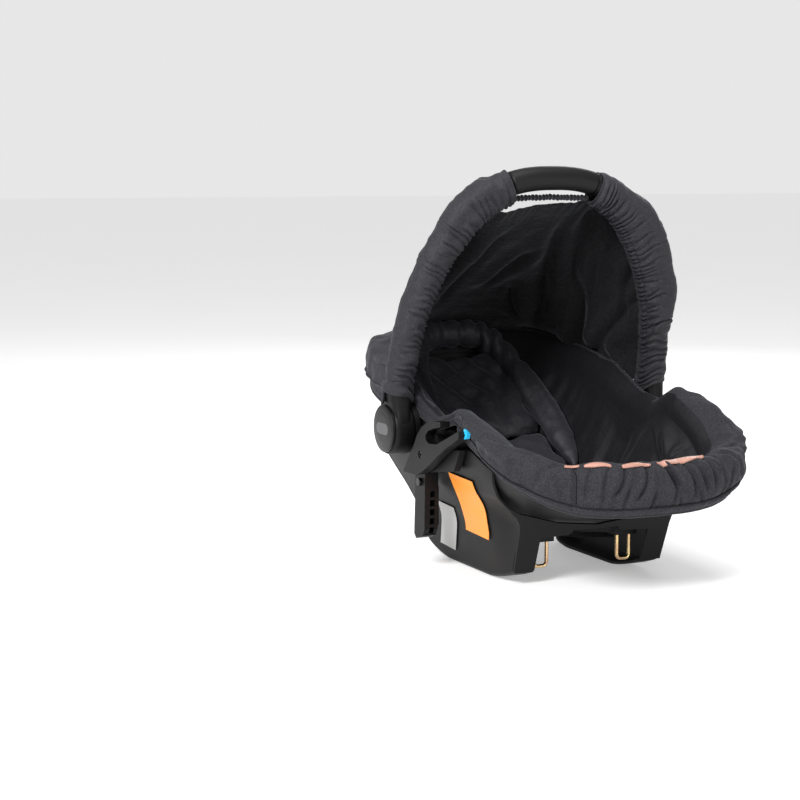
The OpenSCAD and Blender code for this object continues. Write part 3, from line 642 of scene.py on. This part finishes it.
def liner_relief(P):
    """Puffed wings, in front of the crease from the notch in the rim down to the seat's front."""
    X, Y, Z = P[..., 0], P[..., 1], P[..., 2]
    crease_y = -72 - (232 - Z) * 1.22
    s = (crease_y - Y) / 1.58
    side = step01(20, 90, np.abs(X))
    wing = 12 * step01(-3, 26, s) * (1 - step01(70, 150, s)) - 3.5 * np.exp(-(s / 4.5) ** 2)
    d = wing * side
    # rays that fan out from the middle of each wing
    ang = np.arctan2(Z - 130, -(Y + 200))
    r = np.hypot(Z - 130, Y + 200)
    rays = 3.4 * np.sin(ang * 13 + 2.2 * noise(r / 40, ang * 2, 0, 21))
    d = d + rays * side * step01(4, 24, s) * step01(14, 40, r) * (1 - step01(95, 135, r))
    back = 1 - step01(-14, 0, s)
    d = d + 3.8 * back * noise(Y / 15, Z / 80, X / 70, 31) + 3.4 * back * noise(Y / 34, Z / 70, 3, 32)
    return d + 1.1 * noise(X / 16, Y / 16, Z / 16, 33)


def liner_surface():
    """Inside of the cover, from the rim's inner edge down to the middle of the bucket."""
    columns, inset = 64, 24.5
    t = np.linspace(0, 1, columns)[None, :]
    end = RIM[:, -1]
    spine_y = np.interp(LY, [-335, -190, 60, 280], [-232, -160, 60, 205])
    x = end[:, 0:1] * (1 - t)
    y = mix(end[:, 1:2], spine_y[:, None], t)
    drop = end[:, 2:3] - bowl_z(end[:, 0:1], end[:, 1:2], inset)
    z = bowl_z(x, y, inset) + drop * (1 - step01(0, 0.42, t))
    P = np.stack([x, y, z], -1)
    n = normals(P, wrap_u=True)
    if n[:, columns // 2, 2].sum() < 0:
        n = -n
    fade = step01(0, 0.10, t) * (1 - step01(0.86, 0.98, t))
    return P + n * (liner_relief(P) * fade)[..., None]


cover_rim = grid_object("cover_rim_padded", RIM, [M["cover"], M["liner"]], wrap_u=True)
# the liner's darker cloth begins inside the ribbon, and further out behind the notch: painted shade on the
# rear rim and on the wings' inner faces
row_of_face = np.tile(np.arange(RIM_ROWS - 1), len(RIM))
y_of_face = np.repeat(LY, RIM_ROWS - 1)
painted_shade_faces = (row_of_face > 30) & (y_of_face > -86) | (row_of_face > 47)
cover_rim.data.polygons.foreach_set("material_index", painted_shade_faces.astype(int))
subdivide(cover_rim)
finish_piece(cover_rim, "seat", ["cover_rim"])

# the liner's colour, darkened, paints the shade inside the bucket
cover_liner = grid_object("cover_liner_quilted", liner_surface(), M["liner"], wrap_u=True)
subdivide(cover_liner)
finish_piece(cover_liner, "seat", ["cover_liner"])


def rim_at(u, v_abs=None, row=None, lift=0.0):
    """Place on the finished rim, u along the loop from the front, at a row or a height up from the hem."""
    i = np.argmin(np.abs(LOOP_U - u))
    if row is None:
        row = np.interp(v_abs, RIM_V[i], np.arange(RIM_ROWS))
    j = int(np.clip(math.floor(row), 0, RIM_ROWS - 2))
    f = row - j
    return mix(RIM[i, j], RIM[i, j + 1], f) + lift * mix(RIM_N[i, j], RIM_N[i, j + 1], f)


def rim_strip(name, us, row_of, width, lift, thick, material):
    """Flat band on the rim: us along the loop, row_of(u) its middle row, width(u) its width."""
    rows = []
    across = np.array([-0.5, -0.25, 0, 0.25, 0.5])
    for u in us:
        i = np.argmin(np.abs(LOOP_U - u))
        v = np.interp(row_of(u), np.arange(RIM_ROWS), RIM_V[i])
        ring = [rim_at(u, v_abs=v + q * width(u), lift=lift) for q in across]
        ring += [rim_at(u, v_abs=v + q * width(u), lift=lift - thick) for q in across[::-1]]
        rows.append(ring)
    # it bridges the small hollows of the cloth
    return grid_object(name, softened(np.array(rows), 6), material, wrap_v=True, caps=True)


def loop_range(u0, u1):
    """Samples of the loop from u0 to u1, in order."""
    return np.sort(LOOP_U[(LOOP_U >= u0) & (LOOP_U <= u1)])


# ribbon along the top of the lip, in the arcs that show between its folds: [from u, to u, width]
RIBBON_ROW = 34.2
for n_arc, (u0, u1, w) in enumerate([(-117, -98, 5.6), (-94, -59, 6.8), (-48, -7, 7.0), (0, 78, 10.0)]):
    rise = 2.8 if u0 == 0 else 0.3  # rows that its far end runs further in

    def arc_row(u, u0=u0, u1=u1, rise=rise):
        q = (u - u0) / (u1 - u0)
        return RIBBON_ROW - 1.5 * (2 * q - 1) ** 2 + rise * q

    def arc_width(u, u0=u0, u1=u1, w=w):
        q = (u - u0) / (u1 - u0)
        return w * (0.22 + 0.78 * max(0.0, math.sin(math.pi * q ** 0.8)) ** 0.7)

    arc = rim_strip(f"ribbon_{n_arc}", loop_range(u0, u1), arc_row, arc_width, 2.6, 2.2, M["ribbon"])
    finish_piece(arc, "seat")

# the two seams across the lip, and the stitching above the hem
for n_seam, s in enumerate((-1, 1)):
    seam_path = np.array([rim_at(s * (SEAM_U + 6 * float(step01(45, 75, v))), v_abs=v, lift=0.6)
                          for v in np.linspace(9, 88, 60)])
    seam = tube(f"lip_seam_{n_seam}", softened(seam_path, 4), 1.0, M["thread"], 6)
    finish_piece(seam, "seat")
stitch_path = np.array([rim_at(u, v_abs=6.5, lift=0.8) for u in loop_range(-300, 300)])
finish_piece(tube("hem_stitching", stitch_path, 0.75, M["thread"], 6), "seat")

# hem binding round the free edge of the cover
behind = step01(20, 80, LY)  # where the sleeves pass close by as the handle swings back
hem_path = np.array([rim_at(u, row=3.2, lift=0.4 - 1.8 * b) for u, b in zip(LOOP_U, behind)])
hem_r = 1.9 - 0.5 * behind + 0.2 * noise(LOOP_U / 9, 0, 0, 41)
binding = tube("hem_binding", hem_path, hem_r, M["binding"], 10, closed=True)
finish_piece(binding, "seat")

# piping along the top edge of the inner wall, from one notch in the rim round the back to the other
NOTCH_Y = -58
LOOP_END = 2000  # more than the loop's length
notch_u = float(LOOP_U[:HALF][np.argmin(np.abs(LY[:HALF] - NOTCH_Y))])
pipe_u = loop_range(notch_u, LOOP_END)
pipe_u = [*pipe_u, *(-u for u in pipe_u[::-1] if -u in LOOP_U)]
pipe_path = np.array([rim_at(u, row=TOP_ROW, lift=0.7) for u in pipe_u])
piping = tube("wall_piping", pipe_path, 1.25, M["piping"], 8)
finish_piece(piping, "seat")


# ------------------------------------------------------------------ satin insert
CLOTH = {"quality": 6, "mass": 0.25, "tension_stiffness": 14, "compression_stiffness": 6,
         "shear_stiffness": 5, "bending_stiffness": 0.35, "use_pressure": True,
         "uniform_pressure_force": 4.0}
VOXEL = 0.0042  # metres
SIM_FRAMES = 20
PAD_IN = 31  # the pads' underside, in from the outside of the bucket


def blow_up(ob, cap, shrink):
    """Fill the pad with air as cloth, and hold each point within cap millimetres of its start."""
    me = ob.data
    start = vertex_array(me, "co")
    cloth = modifier(ob, "CLOTH")
    for key, value in CLOTH.items():
        setattr(cloth.settings, key, value)
    cloth.settings.shrink_min = shrink
    cloth.settings.effector_weights.gravity = 0
    cloth.point_cache.frame_start = 1
    cloth.point_cache.frame_end = SIM_FRAMES
    for f in range(1, SIM_FRAMES + 1):
        bpy.context.scene.frame_set(f)
    moved = ob.evaluated_get(bpy.context.evaluated_depsgraph_get()).to_mesh()
    step = vertex_array(moved, "co") - start
    ob.modifiers.clear()
    size = np.linalg.norm(step, axis=1, keepdims=True)
    step *= np.minimum(1, cap * 0.001 / np.maximum(size, 1e-9))
    me.vertices.foreach_set("co", (start + step).ravel())
    bpy.context.scene.frame_set(1)


def puff(name, P, material, cap, shrink, crumple=1.0, creases=()):
    """Closed pad from rings of points: remeshed, blown up, crumpled, and laid on the liner."""
    ob = grid_object(name, P, material, wrap_v=True, caps=True)
    remesh = modifier(ob, "REMESH", mode="VOXEL", voxel_size=VOXEL)
    remesh.use_smooth_shade = True
    me = bpy.data.meshes.new_from_object(ob.evaluated_get(bpy.context.evaluated_depsgraph_get()))
    ob.modifiers.clear()
    ob.data = me
    blow_up(ob, cap, shrink)
    co = vertex_array(me, "co")
    nor = vertex_array(me, "normal")
    X, Y, Z = co.T * 1000
    rough = 1 - 2 * np.abs(noise(X / 40 + 0.3 * noise(X / 25, Y / 25, 0, 91), Y / 30, Z / 40, 92))
    rough = 2.6 * rough + 1.7 * (1 - 2 * np.abs(noise(X / 19, Y / 15, Z / 19, 93)))
    rough = rough * crumple
    for x0, y0, x1, y1, width, depth in creases:
        rough = rough + fold(X, Y - ORIGIN_Y, x0, y0, x1, y1, width, depth, 0.5 * width)
    co += nor * (rough * 0.001)[:, None]
    low = bowl_z(co[:, 0] * 1000, co[:, 1] * 1000 - ORIGIN_Y, 24.0) / 1000 + 0.0015
    co[:, 2] = np.maximum(co[:, 2], low)
    me.vertices.foreach_set("co", co.ravel())
    me.update()
    subdivide(ob)
    return ob


def pad_rings(y0, y1, half, thick):
    """Rings across a crowned pad with rounded ends that lies in the bowl, half(y) wide on each side."""
    rows, cols = 34, 16
    rings = []
    u = np.linspace(-1, 1, cols)
    for i in range(rows + 1):
        q = -math.cos(math.pi * i / rows)
        y = (y0 + y1) / 2 + (y1 - y0) / 2 * q
        end = max(1e-3, 1 - abs(q) ** 6) ** 0.5
        x = half(y) * (0.72 + 0.28 * end) * u
        crown = thick * (0.15 + 0.85 * (1 - np.abs(u) ** 5) ** 0.5) * (0.12 + 0.88 * end)
        base = bowl_z(x, y, PAD_IN)
        yy = np.full_like(x, y)
        under = np.stack([x, yy, base], -1)
        over = np.stack([x, yy, base + 0.8 + crown], -1)[::-1]
        rings.append(np.concatenate([under, over]))
    return np.array(rings)


def roll_rings():
    """Head roll: a horseshoe that stands on the back pad and runs down both of its sides."""
    n = 90
    a = np.radians(np.linspace(-24, 204, n))
    x = 92 * signed(np.cos(a), 0.6)
    y = 72 + 162 * np.sin(a)
    r = 16.0 * np.clip(np.minimum(np.arange(n), n - 1 - np.arange(n)) / 7, 0.05, 1) ** 0.5
    r = r * (1 + 0.2 * step01(150, 225, y)) * (0.74 + 0.26 * step01(20, 120, y))
    z = bowl_z(x, y, PAD_IN) + 6 + 0.9 * r + 17 * step01(180, 234, y)
    wide = (1 + 0.4 * (1 - step01(150, 215, y))) * r
    return tube_points(np.stack([x, y, z], -1), wide, 18, high=r)


# creases of the pads: [from x, from y, to x, to y, width, depth]
BACK_CREASES = [(-60, 200, 4, 128, 9, 5), (-24, 212, 40, 140, 8, 6), (18, 212, 60, 168, 7, 4),
                (-70, 160, -24, 104, 8, 5), (62, 186, 30, 104, 9, 5)]
ROLL_CREASES = [(-84, 236, -58, 204, 4, 4), (-60, 250, -46, 206, 4, 3), (-34, 254, -16, 212, 4, 4),
                (-8, 252, -14, 210, 4, 3), (22, 254, 10, 210, 4, 4), (46, 248, 38, 204, 4, 4),
                (70, 240, 50, 200, 4, 4), (90, 220, 62, 186, 4, 4), (104, 190, 74, 168, 5, 4),
                (88, 176, 82, 60, 6, 5), (-88, 180, -86, 70, 6, 4)]
back_rings = pad_rings(100, 228, lambda y: 90 - 8 * float(step01(150, 228, y)), 23)
back_pad = puff("insert_back_satin", back_rings, M["insert"], 8, -0.10, 0.5, BACK_CREASES)
finish_piece(back_pad, "seat", ["insert_back"])
low_pad = puff("insert_low_satin", pad_rings(6, 94, lambda y: 82, 18), M["insert"], 7, -0.08)
finish_piece(low_pad, "seat")
head_roll = puff("insert_roll_satin", roll_rings(), M["insert"], 6, -0.10, 0.35, ROLL_CREASES)
finish_piece(head_roll, "seat", ["insert_roll"])
seat_rings = pad_rings(-194, -50, lambda y: 74 - 22 * float(step01(-110, -196, y)), 14)
seat_pad = puff("insert_seat_satin", seat_rings, M["insert"], 8, -0.08)
finish_piece(seat_pad, "seat", ["insert_seat"])


# ------------------------------------------------------------------ sunshade
# the hood's points across, down its cloth, and down its skirt over the rim
HOOD_T, HOOD_BODY, HOOD_SKIRT = 220, 68, 16


def hood_round(t, out, drop):
    """Line round the back of the rim, out from the bucket and below the cover's top."""
    b = 180 * t
    c = np.cos(np.radians(b))
    s = np.sin(np.radians(b))
    start = 38 * (1 - step01(0, 30, np.minimum(b, 180 - b)))
    y = REAR_ROUND - start + (REAR_REACH + out) * np.abs(s) ** 0.909
    x = (BUCKET_HALF + out) * signed(c, 0.909)
    return np.stack([x, y, smooth(COVER_Z, y) - drop - rear_droop(x, y)], -1)


def loose_right(a):
    """The sleeve on the right hangs away from the tube along its outside."""
    return 13 * step01(17, 25, a) * (1 - step01(52, 64, a))


def hood_front(t):
    """The hood starts on the outside of each sleeve, and dips below and behind the bare grip."""
    a = mix(3.0, 177.0, t)
    e = np.minimum(a, 180 - a)
    x, h = arch(a)
    ix, ih = arch_in(a)
    free = step01(58, 74, e)
    u = -20.0 * (1 - free) - np.where(a < 90, loose_right(a), 0)
    dip = mix(30, 47, step01(68, 102, a)) * step01(62, 80, e)
    return on_handle(x + ix * u, mix(5.0, 25.0, free), h + ih * u - dip)


def hood_surface():
    t = np.linspace(0, 1, HOOD_T)
    e = np.minimum(t, 1 - t)
    end = 1 - step01(0, 0.06, e)
    front = hood_front(t)
    top = hood_round(t, 6.5, -2.5 + 17 * end)
    hem = hood_round(t, 12.5, 34 - 8 * end)
    a = np.pi * t
    out = np.stack([np.cos(a), 0 * a + 0.3, 0.2 + np.sin(a)], -1)
    out /= np.linalg.norm(out, axis=-1, keepdims=True)
    v = np.linspace(0, 1, HOOD_BODY)
    sag = (6 + 28 * step01(0.04, 0.14, e) * (1 - step01(0.28, 0.45, e))) * (1 - end)
    sag = sag[:, None] * np.sin(np.pi * v ** 1.4)[None, :]
    body = mix(front[:, None], top[:, None], v[None, :, None]) - out[:, None] * sag[..., None]
    w = np.linspace(0, 1, HOOD_SKIRT + 1)[1:]
    skirt = mix(top[:, None], hem[:, None], w[None, :, None])
    P = np.concatenate([body, skirt], 1)
    # the cloth turns softly over the cover's edge
    return softened(P.swapaxes(0, 1), 5).swapaxes(0, 1)


HOOD = hood_surface()
HT = np.broadcast_to(np.linspace(0, 1, HOOD_T)[:, None], HOOD.shape[:2])
HV = np.broadcast_to(np.linspace(0, 1, HOOD_BODY + HOOD_SKIRT)[None, :], HOOD.shape[:2])
HOOD_N = normals(HOOD)
if HOOD_N[HOOD_T // 2, OUTER_ROW, 2] < 0:
    HOOD_N = -HOOD_N


def hood_relief():
    X, Y, Z = HOOD[..., 0], HOOD[..., 1], HOOD[..., 2]
    open_ = step01(0.02, 0.16, HV) * (1 - step01(0.88, 1.0, HV))
    d = 4.0 * noise(X / 70, Y / 70, Z / 70, 51) * open_ + 2.0 * noise(X / 27, Y / 27, Z / 27, 52) * open_
    # drape folds from the handle down to the back of the rim: [from t, v, to t, v, width, depth, bow]
    for t0, v0, t1, v1, w, depth, bow in [
        (0.425, 0.10, 0.25, 0.72, 0.020, 11, 0.02), (0.37, 0.06, 0.27, 0.46, 0.018, 15, 0.02),
        (0.275, 0.36, 0.09, 0.80, 0.020, 17, -0.02), (0.22, 0.10, 0.14, 0.30, 0.016, 8, 0.01),
        (0.15, 0.16, 0.05, 0.80, 0.014, 9, 0.01), (0.445, 0.26, 0.48, 0.52, 0.012, 7, 0.0),
        (0.41, 0.50, 0.33, 0.66, 0.012, 6, 0.01), (0.52, 0.12, 0.56, 0.60, 0.014, 7, 0.01),
        (0.60, 0.10, 0.66, 0.60, 0.016, 8, -0.01), (0.72, 0.12, 0.80, 0.74, 0.014, 6, 0.02),
        (0.84, 0.10, 0.90, 0.66, 0.012, 4, -0.01), (0.34, 0.20, 0.20, 0.44, 0.012, 6, -0.01)]:
        d -= fold(HT, HV * 0.9, t0, v0 * 0.9, t1, v1 * 0.9, w, depth, bow) * open_
    # short gathers where the cloth hangs behind the grip, and long soft ones above the hem
    rip = noise(HT * 150, 0, 0, 53) + 0.6 * noise(HT * 260, 3, 0, 54)
    grip_zone = step01(0.30, 0.36, HT) * (1 - step01(0.64, 0.70, HT))
    d += 1.2 * rip * np.exp(-(HV / 0.09) ** 2) * grip_zone
    d += 1.8 * noise(HT * 50, HV * 2, 0, 55) * step01(0.55, 0.95, HV)
    # wrinkles that run back from the sleeves
    near_front = (1 - step01(0.1, 0.5, HV)) * (1 - grip_zone) * step01(0, 0.04, HV)
    return d + 1.7 * noise(HT * 70 + HV * 6, HV * 5, 0, 56) * near_front


HOOD = HOOD + HOOD_N * hood_relief()[..., None]
hood = grid_object("canopy_hood_sheet", HOOD, [M["canopy"], M["terry"]])
HOOD_CLOTH, SLEEVE_CLOTH = 0.0022, 0.0012  # thicknesses, in metres
# the inner side wears the lining, whose darkened colour paints the shade inside the hood
modifier(hood, "SOLIDIFY", thickness=HOOD_CLOTH, offset=-1, material_offset=1, material_offset_rim=0)
subdivide(hood)
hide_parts("canopy_hood")
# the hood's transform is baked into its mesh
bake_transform(hood)

hood_hem = tube("canopy_hem", HOOD[:, -1] + HOOD_N[:, -1] * 0.2, 1.6, M["binding"], 8)
finish_piece(hood_hem, "seat")


SLEEVE_R = 20.4  # around the 16 mm tube


def sleeve(side):
    """Gathered cloth round one arm of the handle, with a stitched elastic channel along its inner edge."""
    # k runs round the tube from a seam behind, and c is 1 on the inside of the arch
    k = np.radians(np.linspace(100, 440, 64))[None, :]
    c, sn = np.cos(k), np.sin(k)
    inner = np.clip(c, 0, 1)
    start = mix(5.4, 3.0, inner ** 2)
    a = start + (GRIP_A - 0.8 - start) * np.linspace(0, 1, 560)[:, None]
    x, h = arch(a)
    ix, ih = arch_in(a)
    mx, mh = arch(a[:, 0])
    S = np.concatenate([[0], np.cumsum(np.hypot(np.diff(mx), np.diff(mh)))])[:, None]  # up the arm
    top = step01(GRIP_A - 13, GRIP_A - 8, a) * (side < 0)
    r_in = mix(19.5, 27.5, step01(16, 50, a))
    loose = loose_right(a) if side > 0 else 5.5 * step01(44, 56, a) * (1 - step01(62, 72, a))
    r_out = SLEEVE_R + (0.8 * top + loose) * step01(-0.1, -0.8, c)
    r = np.where(c > 0, SLEEVE_R + (r_in - SLEEVE_R) * inner ** 1.4, r_out)
    r = r + 3.5 * (1 - step01(3, 10, a)) * np.abs(sn)
    r = r - 2.2 * step01(GRIP_A - 3.5, GRIP_A - 0.8, a) * (side > 0)
    # gathers: dense and deep along the elastic, running out over the front in longer folds
    phase = S / 1.1 + 2.2 * noise(S / 21, 0, 0, 61 + side)
    teeth = 1 - 2 * np.abs(np.sin(phase / 2 + 0.5 * noise(S / 6, k, 0, 67 + side))) ** 0.8
    amount = 0.55 + 0.45 * noise(S / 24, 0, 0, 66 + side)
    near = step01(0.72, 0.93, c)
    r = r - 2.2 * teeth * near * (0.75 + 0.4 * amount)
    wander = S / 3.4 + 2.6 * noise(S / 23, 0, 0, 62 + side) + 1.3 * noise(S / 10, k * 0.7, 0, 63 + side)
    pleat = 5.2 * (np.abs(np.sin(wander)) ** 0.7 - 0.72) * (0.45 + 0.75 * amount)
    reach = -0.25 + 0.65 * noise(S / 9, 7, 0, 68 + side)
    r = r + pleat * step01(reach - 0.35, reach + 0.35, c) * (1 - 0.5 * near)
    # slack wrinkles over the outside, strongest where the cloth bunches near the grip
    slack = noise(S / 17, k * 1.3 + S / 50, 0, 64 + side)
    slack = slack + 0.6 * noise(S / 7, k * 2.0 - S / 30, 0, 65 + side)
    r = r + slack * (1.5 + 1.2 * top) * (1 - near)
    bunch = np.exp(-((S - 92 + 6 * side) / 13) ** 2) if side > 0 else 0
    r = r + 4.5 * bunch * (0.6 + 0.6 * noise(S / 5, k * 1.5, 0, 69)) * (c < 0.5)
    # stitch line that holds the elastic
    r = r - 3.6 * np.exp(-((c - 0.90) / 0.022) ** 2) * step01(0.05, -0.25, sn)
    r = np.maximum(r, 17.4)
    u = r * c + 0.9 * np.sin(phase) * step01(0.9, 1.0, c)
    P = on_handle((x + ix * u) * side, r * sn, h + ih * u)
    ob = grid_object(f"canopy_sleeve_{SIDES[side]}_gathered", P, M["canopy"], flip=side > 0)
    modifier(ob, "SOLIDIFY", thickness=SLEEVE_CLOTH, offset=-1)
    subdivide(ob)
    return finish_piece(ob, "handle", [f"canopy_sleeve_{SIDES[side]}"])


for side in SIDES:
    sleeve(side)

# elastic that spans the gap below the grip
ex = np.linspace(60, -60, 300)
er = 4.6 + 0.9 * np.sin(ex * 1.15 + 1.4 * noise(ex / 9, 0, 0, 71)) + 0.5 * noise(ex / 1.7, 0, 0, 72)
ex_path = on_handle(ex, 3 + 0 * ex, 320 + 0.8 * np.cos(ex / 22) + 0.5 * noise(ex / 14, 0, 0, 73))
ex_rings = tube_points(ex_path, er, 18, high=0.8 * er)
elastic = grid_object("canopy_elastic_gathered", ex_rings, M["elastic"], wrap_v=True, caps=True)
finish_piece(elastic, "handle", ["canopy_elastic"])


# ------------------------------------------------------------------ handle tube and grip
def arch_tube(name, a0, a1, r, material, n_a, n):
    """Tube along the arch from a0 to a1 degrees; r(a, k) is its radius at k radians round it."""
    a = np.linspace(a0, a1, n_a)[:, None]
    x, h = arch(a)
    ix, ih = arch_in(a)
    k = np.linspace(0, 2 * math.pi, n, endpoint=False)[None, :]
    rr = r(a, k)
    u, v = rr * np.cos(k), rr * np.sin(k)
    return grid_object(name, on_handle(x + ix * u, v, h + ih * u), material, wrap_v=True, caps=True)


def grip_radius(a, k):
    """Rubber sleeve, rounded at its ends, with a fine mould seam in front and behind."""
    edge = np.minimum(a - (GRIP_A + 0.2), (180 - GRIP_A - 0.2) - a)
    r = 16.3 - 1.6 * np.exp(-(edge / 0.45) ** 2) + 0.25 * np.sin((a - 90) / 6)
    from_seam = np.minimum(np.abs(k - math.pi / 2), np.abs(k - 1.5 * math.pi))
    return r * (1 - 0.03 * np.exp(-(from_seam / 0.06) ** 2))


def frame_radius(a, k):
    """The tube is thinner inside the grip."""
    return np.where(np.abs(a - 90) < 90 - GRIP_A, 13.0, 16.0) + 0 * k


grip = arch_tube("handle_grip_rubber", GRIP_A + 0.2, 179.8 - GRIP_A, grip_radius, M["rubber"], 120, 48)
finish_piece(grip, "handle", ["handle_grip"])
frame_tube = arch_tube("handle_tube", ARM_START, 180 - ARM_START, frame_radius, M["part"], 200, 32)
finish_piece(frame_tube, "handle", ["handle_frame"])


# ------------------------------------------------------------------ bucket, rockers and hubs
def skirt_x(y, z):
    """The skirt's outside at y and height z."""
    flare = 1 - 0.8 * (1 - step01(-200, -130, y)) * (1 - step01(80, 130, z))
    return (112 + flare * smooth(SKIRT_X, z, 8)) * shell_w(y) / BUCKET_HALF


def bucket_lines(y, inset, n=90):
    """Section of the bucket at each y, inset from its outside."""
    a = np.pi + np.pi * np.linspace(0, 1, n)[None, :]
    top, w = smooth(EDGE_Z, y), shell_w(y) - inset
    depth = top - np.minimum(smooth(FLOOR_Z, y) + inset, top - 1)
    return np.stack([w[:, None] * signed(np.cos(a), 0.92),
                     np.broadcast_to(y[:, None], (len(y), n)),
                     top[:, None] - depth[:, None] * np.abs(np.sin(a)) ** 0.92], -1)


SHELL_FRONT, SHELL_REAR, SHELL_WALL = -336, 274, 3.5
half_length = (SHELL_REAR - SHELL_FRONT) / 2
ys = (SHELL_FRONT + SHELL_REAR) / 2 - half_length * np.cos(np.pi * np.linspace(0, 1, 150))
rings = np.concatenate([bucket_lines(ys, 0), bucket_lines(ys, SHELL_WALL)[:, ::-1]], 1)
shell = grid_object("seat_shell_moulded", rings, M["shell"], wrap_v=True, caps=True)
finish_piece(shell, "seat", ["seat_shell"])


def skirt(side):
    """Side of the base: a thin wall that turns into a rocker foot, leaning forward at its front."""
    wall, turn = 3.6, 7  # thickness, and the rounding above the foot
    y = -34 - 138 * np.cos(np.pi * np.linspace(0, 1, 120))
    lean = 0.36 * (1 - step01(-175, -60, y))
    low = smooth(FOOT_Z, y, 6)
    high = smooth(EDGE_Z, y - lean * 170) - 14
    foot = mix(32, 14, step01(40, 90, y))
    x0 = skirt_x(y - lean * low, low)
    t = np.linspace(0, 1, 46)[None, :]
    zo = high[:, None] + (low + turn - high)[:, None] * t
    xo = skirt_x(y[:, None] - lean[:, None] * zo, zo)
    q = np.linspace(0, np.pi / 2, 9)[None, 1:]
    turn_x = xo[:, -1:] - (xo[:, -1:] - (x0[:, None] - 8)) * (1 - np.cos(q))
    turn_z = (low + turn)[:, None] - turn * np.sin(q)
    bx = np.stack([x0 - foot, x0 - foot, x0 - turn - wall], 1)
    bz = np.stack([low, low + 4, low + 4], 1)
    zi = (high[:, None] + (low + 10 - high)[:, None] * t)[:, ::-1]
    xi = skirt_x(y[:, None] - lean[:, None] * zi, zi) - wall
    X = np.concatenate([xo, turn_x, bx, xi], 1)
    Z = np.concatenate([zo, turn_z, bz, zi], 1)
    P = np.stack([X * side, y[:, None] - lean[:, None] * Z, Z], -1)
    ob = grid_object(f"rocker_{SIDES[side]}_moulded", P, M["shell"], wrap_v=True, caps=True, flip=side < 0)
    modifier(ob, "BEVEL", width=0.0012, segments=3, limit_method="ANGLE", angle_limit=0.7)
    finish_piece(ob, "seat", [f"rocker_{SIDES[side]}"])


def join(name, parts, material):
    """One object from several closed meshes."""
    bm = bmesh.new()
    for ob in parts:
        bm.from_mesh(ob.data)
        bpy.data.objects.remove(ob)
    me = bpy.data.meshes.new(name)
    bm.to_mesh(me)
    bm.free()
    me.materials.append(material)
    me.polygons.foreach_set("use_smooth", [True] * len(me.polygons))
    return in_scene(bpy.data.objects.new(name, me))


def hub(side):
    """Housing of the pivot, open towards the seat, with a wide neck that flows up into the arm."""
    # turned profile of the housing: radius, and place along X
    profile = [(8.1, 195), (27.4, 195), (27.4, 186.6), (28.4, 185.5), (34, 185.5), (35.8, 186.4),
               (36.5, 188.4), (36.5, 200), (36.3, 206), (35.6, 210.6), (34.4, 213.2), (33.2, 214),
               (32.7, 213.4), (32.6, 204.6), (8.1, 204.6)]
    b = np.radians(np.linspace(0, 360, 128, endpoint=False))[:, None]
    r, x = np.array(profile).T[:, None, :]
    ring = np.stack([x * side + 0 * b, r * np.cos(b), PIVOT_Z + r * np.sin(b)], -1)
    house = grid_object("hub_part", ring, M["part"], wrap_u=True, wrap_v=True, flip=side < 0)
    h = np.linspace(14, 64, 26)
    half_v = np.interp(h, [14, 26, 36, 46, 56, 64], [33, 29.5, 25, 21.5, 19, 17.8])
    half_x = np.interp(h, [14, 30, 44, 64], [12.2, 13.4, 15.5, 17.4])
    a = np.radians(np.linspace(0, 360, 56, endpoint=False))[None, :]
    e = np.interp(h, [14, 64], [0.42, 0.9])[:, None]
    u = half_x[:, None] * signed(np.cos(a), e)
    v = half_v[:, None] * signed(np.sin(a), e)
    P = on_handle((201.2 + u) * side, v, np.broadcast_to(h[:, None], u.shape))
    neck = grid_object("hub_neck", P, M["part"], wrap_v=True, caps=True, flip=side > 0)
    ob = join(f"handle_hub_{SIDES[side]}_moulded", [house, neck], M["part"])
    modifier(ob, "BEVEL", width=0.0006, segments=2, limit_method="ANGLE", angle_limit=0.8)
    finish_piece(ob, "handle", [f"handle_hub_{SIDES[side]}"])


for side in SIDES:
    skirt(side)
    hub(side)


# ------------------------------------------------------------------ CAD nodes that keep their shape
KEEP = {
    "front_apron": "shell", "foam_liner": "foam", "guide_screws": "gunmetal", "under_webbing": "webbing",
    "webbing_plate": "wire", "warning_label": "orange", "data_label": "grey", "cover_snaps": "gunmetal",
    "crotch_strap": "webbing", "buckle_housing": "part", "buckle_button": "red", "buckle_tongues": "zinc",
    "adjuster_body": "part", "adjuster_lever": "zinc", "adjuster_strap": "webbing",
}
KEEP_PAIRS = {
    "hub_boss": "part", "pivot_pin": "zinc", "belt_guide": "part", "belt_marker": "cyan",
    "side_post": "part", "latch_loop": "wire", "loop_clamp": "part", "shoulder_strap": "webbing",
    "hub_cap": "cap", "lock_gear": "nylon", "handle_button": "badge", "button_spring": "zinc",
}
KEEP.update({f"{name}_{word}": key for name, key in KEEP_PAIRS.items() for word in SIDES.values()})
for name, key in KEEP.items():
    ob = NODES[name]
    for slot in ob.material_slots:
        slot.material = M[key]
    if key in ("shell", "part", "cap", "badge", "red", "nylon"):
        modifier(ob, "BEVEL", width=0.0007, segments=2, limit_method="ANGLE", angle_limit=0.8)
